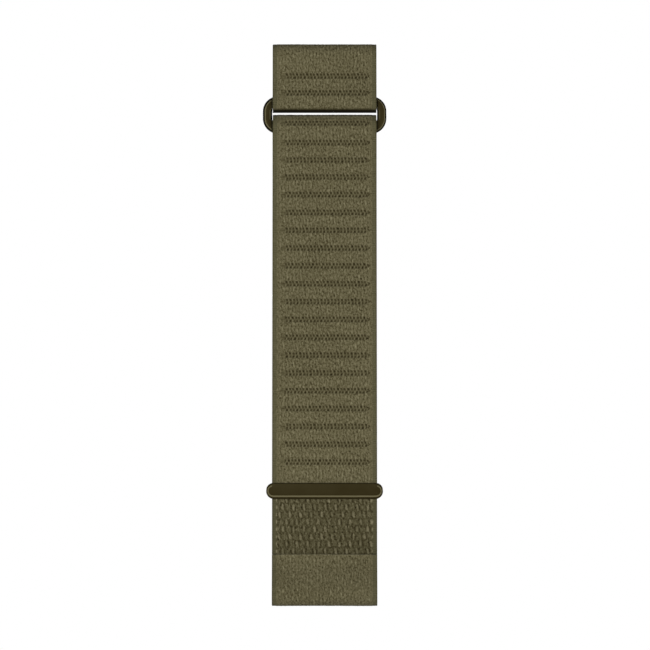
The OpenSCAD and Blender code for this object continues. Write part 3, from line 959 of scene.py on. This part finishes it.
def cloth_finish(name, dark, mid, light, edge_colour, fibres):
    """Yarn colours over the relief's tone, broken up by fibres, with a thread-scale bump."""
    finish = Finish(name, Sheen_Weight=0.02, Sheen_Roughness=0.5, Specular_IOR_Level=0.08,
                    Specular_Tint=(1, 0.95, 0.75, 1))
    place = finish.attribute("cloth", "Vector")
    tone, edge, calm = map(finish.attribute, ("tone", "edge", "calm"))
    fibre = finish.noise(place, fibres, 1.0, 0.6)
    fuzz = finish.noise(place, FUZZ, 2.0, 0.55)
    patch = finish.noise(place, PATCHES, 2.0, 0.5)
    grain = ((fibre - 0.5) * 0.8 + (fuzz - 0.5) * 0.5) * (1 - calm * 0.6)
    along = finish.wire(finish.add("SeparateXYZ", None, {0: place}), 1)
    turned = finish.maths("SINE", along * (2 * math.pi / FINE_TURNS) + fibre * 2.0) * edge
    shade = tone + grain + (patch - 0.5) * 0.1 + turned * 0.07
    # The near-black first stop lets painted shade, such as that under the short strap's fold, go darker than
    # the yarn
    yarn = finish.ramp(shade, [(0.0, shaded(dark, 0.2)), (0.1, dark), (0.5, mid), (1.0, light)])
    finish.set("Base Color", finish.mixed(edge * EDGE_COLOUR, yarn, edge_colour))
    finish.set("Roughness", 0.78 + fibre * 0.2)
    finish.set("Normal", finish.bump(fibre * 0.6 + fuzz * 0.4 + turned * 0.3, 0.4, FIBRE_DEPTH * MM))
    return finish.material


def knit_finish(context):
    """The ribbed knit's yarn."""
    c = context.scene.strap_colours
    return made("ribbed knit", cloth_finish, c.knit_dark, c.knit_mid, c.knit_light, c.edge, PILE_FIBRES)


def loop_finish(context):
    """The loop weave's yarn."""
    c = context.scene.strap_colours
    return made("loop weave", cloth_finish, c.loop_dark, c.loop_mid, c.loop_light, c.edge, PILE_FIBRES)


def lining_finish(context):
    """The short strap's plain lining."""
    c = context.scene.strap_colours
    return made("lining cloth", cloth_finish, c.loop_dark, c.edge, c.loop_light, c.edge, LINING_FIBRES)


def metal_finish(name, colour, painted_highlight_colour, roughness, coat_share, painted_highlight_share, painted_rim_shade_share):
    """Satin coated metal with fine grain: painted shade on the rims, and painted highlights on the bevels."""
    finish = Finish(name, Specular_IOR_Level=0.08, Specular_Tint=(1, 0.82, 0.45, 1))
    place = finish.wire(finish.add("TexCoord"), "Object")
    grain = finish.noise(place, METAL_GRAIN, 3.0, 0.6)
    cloud = finish.noise(place, METAL_CLOUD, 2.0, 0.5)
    bevel = finish.attribute("bevel")
    coat = shaded(colour, coat_share)
    stops = [(0.0, shaded(coat, painted_rim_shade_share)), (0.5, coat), (1.0, shaded(painted_highlight_colour, painted_highlight_share))]
    # Painted light: the ramp gives rims painted shade and bevels painted highlights
    finish.set("Base Color", finish.ramp(bevel + (cloud - 0.5) * 0.12, stops))
    finish.set("Metallic", 0.1 + bevel * 0.1)
    finish.set("Roughness", roughness + grain * 0.1)
    finish.set("Normal", finish.bump(grain, 0.12, GRAIN_DEPTH * MM))
    return finish.material


def ring_finish(context):
    """The link ring's dark coat."""
    c = context.scene.strap_colours
    return made("ring metal", metal_finish, c.metal, c.bevel, *RING_METAL)


def tip_finish(context):
    """The tip plate's dark coat, on its front and its back."""
    c = context.scene.strap_colours
    return made("tip metal", metal_finish, c.metal, c.bevel, *PLATE_METAL)


def rivet_finish(context):
    """The rivets' bare metal."""
    c = context.scene.strap_colours
    return made("rivet metal", metal_finish, c.rivet, c.bevel, *RIVET_METAL)


def moulded_finish(name, colour):
    """Moulded plastic with a fine haze."""
    finish = Finish(name, Specular_IOR_Level=0.4)
    place = finish.wire(finish.add("TexCoord"), "Object")
    haze = finish.noise(place, PLASTIC_HAZE, 3.0, 0.6)
    finish.set("Base Color", finish.mixed(haze, shaded(colour, 0.8), shaded(colour, 1.25)))
    finish.set("Roughness", 0.42 + haze * 0.2)
    finish.set("Normal", finish.bump(haze, 0.2, HAZE_DEPTH * MM))
    return finish.material


def hook_finish(context):
    """The hook tape's plastic."""
    return made("hook tape", moulded_finish, context.scene.strap_colours.hook)


# Metal meshes


def skin(rings, bright=0.5):
    """A closed shell over rings of points, closed at both ends, as points, faces and brightness."""
    rings = np.asarray(rings, float)
    count, around = rings.shape[:2]
    bright = np.broadcast_to(np.asarray(bright, float), (count, around))
    i = np.arange(around)
    faces = [i[::-1], (count - 1) * around + i]
    for k in range(count - 1):
        a, b = k * around + i, k * around + np.roll(i, -1)
        faces += list(np.stack([a, b, b + around, a + around], axis=-1))
    return rings.reshape(-1, 3), faces, bright.ravel()


def fixed_outward(piece):
    """Turns the faces of closed shells outward."""
    shell = bmesh.new()
    shell.from_mesh(piece.data)
    bmesh.ops.recalc_face_normals(shell, faces=shell.faces)
    shell.to_mesh(piece.data)
    shell.free()
    return piece


def metal_piece(name, shells, finish, angle=32):
    """One piece of several closed shells, with hard edges where they turn by more than an angle."""
    points, faces, bright, offset = [], [], [], 0
    for p, f, b in shells:
        points.append(p)
        faces += [face + offset for face in f]
        bright.append(b)
        offset += len(p)
    # Brightness of each point: 0 painted rim shade, 0.5 the coat, 1 a painted highlight on the bevels
    piece = mesh_object(name, np.concatenate(points), faces, finish, [("bevel", np.concatenate(bright))])
    piece.data.set_sharp_from_angle(angle=math.radians(angle))
    return fixed_outward(piece)


def lathe(x, y, z, axis, profile, count):
    """Rings round an axis through a point, from pairs of distance along the axis and radius."""
    a = np.linspace(0, 2 * math.pi, count, endpoint=False)
    rings = []
    for along, radius in profile:
        u, v, flat = radius * np.cos(a), radius * np.sin(a), 0 * a
        ring = [x + along + flat, y + u, z + v] if axis == "x" else [x + u, y + along + flat, z + v]
        rings.append(np.stack(ring, axis=-1))
    return rings


# Link ring: half its opening's width, its corners' radius, how much lower its top and its bottom lie than the
# packed ring's, share of the inner insets outside the notch, and points of a corner and of an inner side
RING_INNER = 11.0
RING_CORNER = 3.2
RING_DROP = (0.08, 0.28)
INNER_SHARE = 0.55
RING_ARC = 26
RING_BACK = 60

# The two sides differ a little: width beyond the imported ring, depth of the notch and share of the outer rim
RING_WIDER = {-1: 0.0, 1: 0.03}
RING_NOTCH = {-1: 0.045, 1: 0.095}
RING_RIM = {-1: 1.3, 1: 1.0}
NOTCH_SLOPE = (1.2, 0.95)

# From the ring's middle to its face: insets at the outer and at the inner side, depth, and painted
# brightness at both: 0 is painted shade on the outer rim, 1 a painted highlight line on the bevelled edge,
# and more than 0.5 a painted lighter strip along the inner side
RING_PROFILE = [
    (0, 0, 0.5, 0, 0), (0.03, 0.06, 0.66, 0, 0), (0.09, 0.13, 0.79, 0, 0), (0.2, 0.18, 0.87, 0, 0),
    (0.3, 0.21, 0.91, 0.1, 0), (0.315, 0.23, 0.915, 1, 0), (0.48, 0.32, 1.0, 1, 0),
    (0.495, 0.36, 1.005, 0.5, 0.64), (0.6, 0.58, 1.02, 0.5, 0.64), (0.65, 0.62, 1.03, 0.5, 0.5),
    (0.8, 0.7, 1.05, 0.5, 0.5), (0.84, 0.74, 1.05, 0.5, 0.5),
]

# The ring's bars: radius, radius at their ends, length of the narrowing, how far they go into the sides, and
# points along them and round them
BAR_R = 1.0
BAR_END_R = 0.7
BAR_END = 0.3
BAR_SUNK = 0.05
BAR_ALONG = 13
BAR_ROUND = 48


def ring_side(side, outer_in, inner_in, y):
    """One closed ring of points round a side of the link ring, at two insets and a depth."""
    half_w, half_h = high("link_ring", "x") + RING_WIDER[side], high("link_ring", "z") - Z_RING
    cx, cz = half_w - RING_CORNER, half_h - RING_CORNER
    radius, inner = RING_CORNER - RING_RIM[side] * outer_in, RING_INNER + INNER_SHARE * inner_in
    a = np.linspace(math.acos((inner - cx) / radius), 0, RING_ARC)
    top = np.stack([cx + radius * np.cos(a), cz + radius * np.sin(a)], axis=-1)
    upper, lower = top - (0, RING_DROP[0]), top[::-1] * (1, -1) - (0, RING_DROP[1])
    z = np.linspace(lower[-1, 1], upper[0, 1], RING_BACK)[1:-1]
    notch = slope(abs(z - SLIT_Z + Z_RING), *NOTCH_SLOPE)
    back = np.stack([inner + (RING_NOTCH[side] + (1 - INNER_SHARE) * inner_in) * notch, z], axis=-1)
    flat = np.concatenate([upper, lower, back])
    return np.stack([side * flat[:, 0], np.full(len(flat), y), Z_RING + flat[:, 1]], axis=-1)


def ring_shells():
    """The link ring's two sides, alike at the front and at the back, and its two bars."""
    rows = [*reversed(RING_PROFILE), *((o, i, -y, *bright) for o, i, y, *bright in RING_PROFILE)]
    shells = []
    for side in (-1, 1):
        rings = [ring_side(side, *row[:3]) for row in rows]
        outer = np.arange(len(rings[0])) < 2 * RING_ARC
        shells.append(skin(rings, [np.where(outer, *row[3:]) for row in rows]))
    reach = RING_INNER + BAR_SUNK
    straight = np.linspace(BAR_END - reach, reach - BAR_END, BAR_ALONG)
    bar = [(-reach, BAR_END_R), *((x, BAR_R) for x in straight), (reach, BAR_END_R)]
    for z in (Z_UPPER_BAR, Z_BAR):
        shells.append(skin(lathe(0, 0, z, "x", bar, BAR_ROUND)))
    return shells


# Tip plate: share of an inset along the upper side, angles between which it grows to the whole one, how much
# smaller it is at the round ends, how full the ends are above and below, painted light along the upper side
# and how far below it this fades, and points of an end, of the lower side and of the upper side
UPPER_INSET = 0.15
INSET_SLOPE = (math.radians(90), math.radians(58))
END_INSET = 0.35
END_FULLNESS = (0.78, 0.94)
UPPER_PAINTED_LIGHT = 0.53
UPPER_FADE = (0.04, 0.34)
END_POINTS = 41
LOWER_POINTS = 12
UPPER_POINTS = 60

# Rows of the front plate near its back and near its face, and of the back plate near its seat and near its
# outer side: inset, place along Y counted from that side, and painted brightness, below 0.5 painted shade on
# the rims and 1 a painted highlight on the bevels
PLATE_BACK_ROWS = [(0.1, 0, 0.2), (0, -0.1, 0.2)]
PLATE_FACE_ROWS = [(0, 0.5, 0.2), (0.04, 0.32, 0.3), (0.14, 0.2, 0.4), (0.43, 0.15, 0.5), (0.445, 0.145, 1),
                   (0.76, 0.04, 1), (0.78, 0.035, 0.5), (0.9, 0.01, 0.5), (1.2, 0, 0.5)]
REAR_NEAR_ROWS = [(0.1, 0, 0.3), (0, 0.1, 0.3)]
REAR_FAR_ROWS = [(0, -0.2, 0.3), (0.06, -0.07, 0.5), (0.2, 0, 0.5)]

# A rivet's head: radius, points round it, and pairs of height over the back plate and how much smaller the
# radius is there
RIVET_R = 0.7
RIVET_ROUND = 32
RIVET_ROWS = [(-0.2, 0.02), (-0.03, 0.02), (0.0, 0.06), (0.025, 0.2), (0.04, 0.42), (0.045, 0.64)]


def stadium(inset, y, width, height):
    """A closed ring of points round a plate with round ends, inset least along its upper side."""
    cx = width / 2 - height / 2
    a = np.linspace(math.pi / 2, -math.pi / 2, END_POINTS)
    share = between(UPPER_INSET, 1, slope(a, *INSET_SLOPE)) * (1 - END_INSET * np.cos(a) ** 2)
    radius = height / 2 - inset * share
    fullness = np.where(a > 0, *END_FULLNESS)
    right = np.stack([cx + radius * np.cos(a), radius * np.sign(a) * abs(np.sin(a)) ** fullness], axis=-1)
    lower_x, upper_x = np.linspace(cx, -cx, LOWER_POINTS)[1:-1], np.linspace(-cx, cx, UPPER_POINTS)[1:-1]
    lower = np.stack([lower_x, np.full(len(lower_x), -radius[-1])], axis=-1)
    upper = np.stack([upper_x, np.full(len(upper_x), radius[0])], axis=-1)
    flat = np.concatenate([right, lower, right[::-1] * (-1, 1), upper])
    return np.stack([flat[:, 0], np.full(len(flat), y), Z_TIP + flat[:, 1]], axis=-1)


def plate_shell(first, first_y, second, second_y):
    """A plate from two lists of insets, depths and brightness, and the depths that they count from."""
    width = 2 * high("tip_plate_front", "x")
    height = high("tip_plate_front", "z") - low("tip_plate_front", "z")
    rows = [(inset, start + y, bright) for part, start in ((first, first_y), (second, second_y))
            for inset, y, bright in part]
    rings = [stadium(inset, y, width, height) for inset, y, bright in rows]
    down = Z_TIP + height / 2 - rings[0][:, 2]
    fade = slope(down, *UPPER_FADE)
    # Painted light along the upper side, fading below it
    return skin(rings, [between(UPPER_PAINTED_LIGHT, bright, fade) for inset, y, bright in rows])


# Operators

# Short strap's fold: distance from its lowest point at which the pile starts to lie flat and painted shade
# starts, and where both are full, its height there, and how much painted shade darkens its tone
FLATTENED_AND_SHADED_SLOPE = (2.5, 1.2)
PRESSED_HEIGHT = -0.02
PAINTED_FOLD_SHADE = 0.66

# Hook tape: inset of its rounded outer side, and place along Y counted from that side
TAPE_ROWS = [(0, -0.1), (0.04, -0.03), (0.12, 0)]

# A hook: distance to the next one, distances across and along from the tape's rim to the first one and to
# where they end, shift of every other row, how deep its foot sits in the tape, how far it bends over, its
# radius at its foot and at its end, and its points round and along
HOOK_PITCH = 0.95
HOOKS_FROM = (0.7, 0.6)
HOOKS_TO = (0.5, 0.4)
HOOK_SHIFT = 0.25
HOOK_SUNK = 0.05
HOOK_OVER = 0.34
HOOK_R = (0.1, 0.045)
HOOK_POINTS = (6, 8)

# Stage: rows of the floor's rim as radius and depth, points round it, middle of the picture, the height in
# metres that the lamps shine on, how the key light is shared between left and right, width of the sensor, and
# white
FLOOR_ROWS = [(320, 4), (324, 2), (322, 0.4), (316, 0)]
FLOOR_POINTS = 96
PICTURE_X = 0.09
PICTURE_Z = -57.07
LAMPS_AT = -0.057
KEY_SHARES = {-1: 0.53, 1: 0.47}
SENSOR = 36
WHITE = (1, 1, 1, 1)


class STRAP_OT_short_strap(bpy.types.Operator):
    """Makes the knit and the lining of the short strap, from the upper lug to the ring"""

    bl_idname = "strap.short_strap"
    bl_label = "Short strap"

    def execute(self, context):
        face, inner = short_line(SHORT_T, SHORT_SAG), short_line(LINING_T)
        front = face.knots[:len(face.knots) // 2]
        heights = [low("short_strap_knit", "z") + at for at in SHORT_ROW_AT]
        rows = np.interp(heights, face.z[front], face.s[front])
        shown = loop_of(face, spaced(0, face.s[-1], rows)[:-1])
        hole = loop_of(inner, np.linspace(0, inner.s[-1], 90)[:-1], False, KNIT_T)
        relief = knit_relief(context, rows)

        def flattened_and_shaded(x, s):
            """The pile lies flat where the fold turns under, and painted shade darkens its tone there."""
            height, tone, edge, calm = relief(x, s)
            under = slope(np.minimum(s, face.s[-1] - s), *FLATTENED_AND_SHADED_SLOPE)
            even = np.minimum(1, 1.6 * under)
            # Painted shade on the fold's underside: the tone falls towards its lowest point
            tone = between(tone, MID_TONE, even) - PAINTED_FOLD_SHADE * under
            return between(height, PRESSED_HEIGHT, under), tone, edge * (1 - under), np.maximum(calm, even)

        knit = cloth_piece("short_strap_knit_cloth", [shown, hole], flattened_and_shaded, columns(context),
                           knit_finish(context))
        dress(knit, "ribbed_knit", "short_strap_knit", body="short_strap")
        outer = loop_of(inner, np.linspace(0, inner.s[-1], 120)[:-1], False, LINING_T)
        tunnels = [circle_loop(0, 0, R_TUNNEL), circle_loop(0, Z_UPPER_BAR, R_BORE)]
        lining = cloth_piece("short_strap_lining_cloth", [outer, *tunnels], plain_relief,
                             columns(context, True), lining_finish(context))
        dress(lining, "lining_cloth", "short_strap_lining", body="short_strap")
        return {"FINISHED"}


class STRAP_OT_ring_fold(bpy.types.Operator):
    """Makes the long strap's fold round the ring, in parts between the inner run and the tail"""

    bl_idname = "strap.ring_fold"
    bl_label = "Fold round the ring"

    def execute(self, context):
        for number, part in enumerate(zip(FOLD_PARTS, FOLD_PARTS[1:]), 1):
            last, first = (between(FOLD_END, TAIL_TOP, angle / math.pi) for angle in part)
            bend = ("strap_1", "tail_1", *fold_bend(*part))
            for knit in (True, False):
                node = "ring_fold_knit" if knit else "ring_fold_loop"
                layer(context, node, (first, last), knit, bend=bend, end=f"_{number}", plain=not knit)
        return {"FINISHED"}


class STRAP_OT_inner_run(bpy.types.Operator):
    """Makes both layers of the inner run, in stiff lengths and the flex sections between them"""

    bl_idname = "strap.inner_run"
    bl_label = "Inner run"

    def execute(self, context):
        for knit, kind in ((True, "knit"), (False, "loop")):
            for i, (top, bottom) in enumerate(Z_STIFF, 1):
                start = FOLD_END if i == 1 else run_knot(top)
                layer(context, f"run_{kind}_{i}", (start, run_knot(bottom)), knit, body=f"strap_{i}")
            for i, (top, bottom) in enumerate(Z_FLEX, 1):
                layer(context, f"run_flex_{kind}_{i}", (run_knot(top), run_knot(bottom)), knit,
                      bend=(f"strap_{i}", f"strap_{i + 1}", (Y_HINGE, top), (Y_HINGE, bottom)))
        return {"FINISHED"}


class STRAP_OT_lower_lug(bpy.types.Operator):
    """Makes the lower lug end, which turns round its tunnel and comes back up as a flap"""

    bl_idname = "strap.lower_lug"
    bl_label = "Lower lug end"

    def execute(self, context):
        top, flap = run_knot(Z_FLEX[2][1]), run_knot(Z_FLAP_END)
        rows = webbing_rows()
        shown = loop_of(FACE, spaced(FACE.distance(top), FACE.s[-1], rows))
        outline = join(shown, hidden_side(FACE, top, FLAP_TOP, KNIT_T))
        # A painted highlight at the flap's end lightens the shade along its edge
        relief = knit_relief(context, rows, FACE.s[-1] + PAINTED_LIGHT_WIDTH / 2)
        knit = cloth_piece("lower_lug_knit_cloth", [outline], relief, columns(context), knit_finish(context))
        dress(knit, "ribbed_knit", "lower_lug_knit", body="strap_4")
        weave = loop_of(LOOPS, spaced(LOOPS.distance(top), LOOPS.distance(flap), NO_ROWS, LOOP_STEP))
        outline = join(weave, hidden_side(LOOPS, top, FLAP_TOP, WEB_T - KNIT_T))
        loops = cloth_piece("lower_lug_loop_cloth", [outline, circle_loop(Y_LUG, Z_LUG, R_TUNNEL)],
                            loop_relief(context), columns(context), loop_finish(context))
        dress(loops, "loop_weave", "lower_lug_loop", body="strap_4")
        return {"FINISHED"}


class STRAP_OT_tail(bpy.types.Operator):
    """Makes both layers of the tail, down to its end in the tip plate"""

    bl_idname = "strap.tail"
    bl_label = "Tail"

    def execute(self, context):
        for knit, kind in ((True, "knit"), (False, "loop")):
            for i, (top, bottom) in enumerate(Z_STIFF[:2], 1):
                end = TAIL_TOP if i == 1 else tail_knot(top)
                layer(context, f"tail_{kind}_{i}", (tail_knot(bottom), end), knit, body=f"tail_{i}")
            for i, (top, bottom) in enumerate(Z_FLEX[:2], 1):
                layer(context, f"tail_flex_{kind}_{i}", (tail_knot(bottom), tail_knot(top)), knit,
                      bend=(f"tail_{i}", f"tail_{i + 1}", (Y_HINGE, top), (Y_HINGE, bottom)))
        layer(context, "tail_knit_3", (0, tail_knot(Z_FLEX[1][1])), True, body="tail_3")
        return {"FINISHED"}


class STRAP_OT_hook_patch(bpy.types.Operator):
    """Makes the hook patch: a tape with rows of small bent hooks"""

    bl_idname = "strap.hook_patch"
    bl_label = "Hook patch"

    def execute(self, context):
        half = high("hook_patch_backing", "x")
        top, bottom = high("hook_patch_backing", "z"), low("hook_patch_backing", "z")
        near, far = low("hook_patch_backing", "y"), high("hook_patch_backing", "y")
        rings = []
        for inset, y in ((0, near), *((inset, far + depth) for inset, depth in TAPE_ROWS)):
            x, z0, z1 = half - inset, bottom + inset, top - inset
            rings.append([(-x, y, z0), (x, y, z0), (x, y, z1), (-x, y, z1)])
        tape = metal_piece("hook_patch_backing_tape", [skin(rings)], hook_finish(context))
        dress(tape, "hook_tape", "hook_patch_backing", body="tail_3")
        end = high("hook_patch_hooks", "y")
        shells = []
        for row, z in enumerate(np.arange(bottom + HOOKS_FROM[1], top - HOOKS_TO[1], HOOK_PITCH)):
            first = -half + HOOKS_FROM[0] + HOOK_SHIFT * (row % 2)
            for x in np.arange(first, half - HOOKS_TO[0], HOOK_PITCH):
                shells.append(self.hook(x, z, far, end, 1 if row % 2 else -1))
        hooks = metal_piece("hook_patch_hooks_tape", shells, hook_finish(context), 60)
        dress(hooks, "hook_tape", "hook_patch_hooks", body="tail_3")
        return {"FINISHED"}

    def hook(self, x, z, foot, end, lean):
        """One hook, as rings that rise from the tape, bend over to one side and get thinner."""
        a = np.linspace(0, 2 * math.pi, HOOK_POINTS[0], endpoint=False)
        bend = np.linspace(0, 1, HOOK_POINTS[1])
        foot = foot - HOOK_SUNK
        rise = np.minimum(foot + (end - foot) * np.minimum(1, 1.25 * np.sin(bend * 2.1)), end)
        over = z + lean * HOOK_OVER * bend ** 2.2
        rings = []
        for share, y, middle in zip(bend, rise, over):
            radius = between(*HOOK_R, share)
            u, v = radius * np.cos(a), radius * np.sin(a)
            rings.append(np.stack([x + u, y - lean * 0.8 * share * v, middle + v], axis=-1))
        return skin(rings)


class STRAP_OT_link_ring(bpy.types.Operator):
    """Makes the link ring: two bevelled sides and two round bars"""

    bl_idname = "strap.link_ring"
    bl_label = "Link ring"

    def execute(self, context):
        ring = metal_piece("link_ring_metal", ring_shells(), ring_finish(context))
        dress(ring, "ring_metal", "link_ring", body="ring")
        return {"FINISHED"}


class STRAP_OT_tip_plate(bpy.types.Operator):
    """Makes the tip plate's front and back and the rivets that clamp them on the tail"""

    bl_idname = "strap.tip_plate"
    bl_label = "Tip plate"

    def execute(self, context):
        face, back = low("tip_plate_front", "y"), high("tip_plate_front", "y")
        near, far = low("tip_plate_back", "y"), high("tip_plate_back", "y")
        plates = {"tip_plate_front": plate_shell(PLATE_BACK_ROWS, back, PLATE_FACE_ROWS, face),
                  "tip_plate_back": plate_shell(REAR_NEAR_ROWS, near, REAR_FAR_ROWS, far)}
        for node, shell in plates.items():
            plate = metal_piece(f"{node}_metal", [shell], tip_finish(context), 40)
            dress(plate, "tip_metal", node, body="tail_3")
        reach = high("tip_rivets", "x") - RIVET_R
        profile = [(up, RIVET_R - smaller) for up, smaller in RIVET_ROWS]
        shells = [skin(lathe(x, far, Z_TIP, "y", profile, RIVET_ROUND)) for x in (-reach, 0, reach)]
        rivets = metal_piece("tip_rivets_metal", shells, rivet_finish(context), 50)
        dress(rivets, "rivet_metal", "tip_rivets", body="tail_3")
        return {"FINISHED"}


class STRAP_OT_stage(bpy.types.Operator):
    """Makes the floor, the light and the camera"""

    bl_idname = "strap.stage"
    bl_label = "Stage"

    def execute(self, context):
        light = context.scene.strap_light
        self.floor(low("lower_lug_knit", "z") - light.floor_drop / MM)
        for side, share in KEY_SHARES.items():
            self.lamp("key", (side * 0.42, -1.0, -0.12), 0.5, 0.3, share * light.key)
            self.lamp("back", (side * 0.42, 1.0, 0.0), 0.5, 0.3, share * light.key)
            self.lamp("side", (side * 0.8, 0.0, 0.05), 0.4, 0.4, light.side)
        self.lamp("top", (0, 0.25, 0.7), 0.6, 0.6, light.top)
        self.world(light.ambient)
        self.camera(context.scene, light)
        context.scene.view_settings.view_transform = "Standard"
        return {"FINISHED"}

    def floor(self, top):
        """A large round floor with a soft rim."""
        a = np.linspace(0, 2 * math.pi, FLOOR_POINTS, endpoint=False)
        rings = [np.stack([radius * np.cos(a), radius * np.sin(a), 0 * a + (top - down)], axis=-1)
                 for radius, down in FLOOR_ROWS]
        points, faces = skin(rings)[:2]
        floor = fixed_outward(mesh_object("floor", points, faces, self.floor_finish()))

    def camera(self, scene, light):
        """A camera straight in front of the strap, with the lens that its distance asks for."""
        data = bpy.data.cameras.new("camera")
        data.sensor_width = SENSOR
        data.lens = SENSOR * light.distance / light.frame_height
        camera = bpy.data.objects.new("camera", data)
        camera.location = (PICTURE_X * MM, -light.distance, PICTURE_Z * MM)
        camera.rotation_euler = (math.pi / 2, 0, 0)
        scene.collection.objects.link(camera)
        scene.camera = camera

    def lamp(self, name, place, width, height, power):
        """A rectangular lamp that shines on the strap's middle, placed and sized in metres."""
        data = bpy.data.lights.new(name, "AREA")
        data.shape, data.energy, data.size, data.size_y = "RECTANGLE", power, width, height
        lamp = bpy.data.objects.new(name, data)
        lamp.location = place
        away = Vector((place[0], place[1], place[2] - LAMPS_AT))
        lamp.rotation_euler = away.to_track_quat("Z", "Y").to_euler()
        lamp.visible_camera = False
        bpy.context.scene.collection.objects.link(lamp)

    def floor_finish(self):
        """Pale floor that looks nearly as white as the backdrop and keeps a soft shadow."""
        finish = Finish("floor", Roughness=0.9, Specular_IOR_Level=0.0, Emission_Strength=1)
        place = finish.wire(finish.add("TexCoord"), "Object")
        grain = finish.noise(place, FLOOR_GRAIN, 3.0, 0.6)
        finish.set("Base Color", finish.mixed(grain, (0.88, 0.88, 0.88), (0.92, 0.92, 0.92)))
        seen = finish.wire(finish.add("LightPath"), "Is Camera Ray")
        finish.set("Emission Color", finish.mixed(seen, (0, 0, 0), (0.52, 0.52, 0.52)))
        return finish.material

    def world(self, ambient):
        """White where it is seen, and a dim even light elsewhere."""
        world = bpy.data.worlds.new("backdrop")
        world.use_nodes = True
        world.node_tree.nodes.clear()
        bpy.context.scene.world = world
        nodes = Nodes(world.node_tree)
        path = nodes.add("LightPath")
        rays = [nodes.wire(path, f"Is {kind} Ray") for kind in ("Camera", "Transmission")]
        seen = nodes.maths("MAXIMUM", *rays)
        even = nodes.wire(nodes.add("Background", None, {"Color": WHITE, "Strength": ambient}))
        white = nodes.wire(nodes.add("Background", None, {"Color": WHITE}))
        mix = nodes.wire(nodes.add("MixShader", None, {0: seen, 1: even, 2: white}))
        nodes.add("OutputWorld", None, {0: mix})


OPERATORS = (STRAP_OT_stage, STRAP_OT_short_strap, STRAP_OT_link_ring, STRAP_OT_ring_fold, STRAP_OT_inner_run,
             STRAP_OT_lower_lug, STRAP_OT_tail, STRAP_OT_hook_patch, STRAP_OT_tip_plate)


class STRAP_PT_maker(bpy.types.Panel):
    """Lists the strap's sizes, colours and makers"""

    bl_label = "Watch strap"
    bl_idname = "STRAP_PT_maker"
    bl_space_type = "VIEW_3D"
    bl_region_type = "UI"
    bl_category = "Strap"

    def draw(self, context):
        for group in (context.scene.strap_sizes, context.scene.strap_colours, context.scene.strap_light):
            box = self.layout.box()
            for name in group.__annotations__:
                box.prop(group, name)
        for operator in OPERATORS:
            self.layout.operator(operator.bl_idname)


GROUPS = {"strap_sizes": StrapSizes, "strap_colours": StrapColours, "strap_light": StrapLight}


def register():
    """Registers the classes and gives the scene its sizes, colours and light."""
    for name, group in GROUPS.items():
        bpy.utils.register_class(group)
        setattr(bpy.types.Scene, name, PointerProperty(type=group))
    for item in (*OPERATORS, STRAP_PT_maker):
        bpy.utils.register_class(item)


def unregister():
    """Takes back what register() did."""
    for item in (STRAP_PT_maker, *reversed(OPERATORS)):
        bpy.utils.unregister_class(item)
    for name, group in GROUPS.items():
        delattr(bpy.types.Scene, name)
        bpy.utils.unregister_class(group)


def main():
    """Makes every piece and the stage."""
    register()
    for operator in OPERATORS:
        group, name = operator.bl_idname.split(".")
        getattr(getattr(bpy.ops, group), name)()


if __name__ == "__main__":
    main()
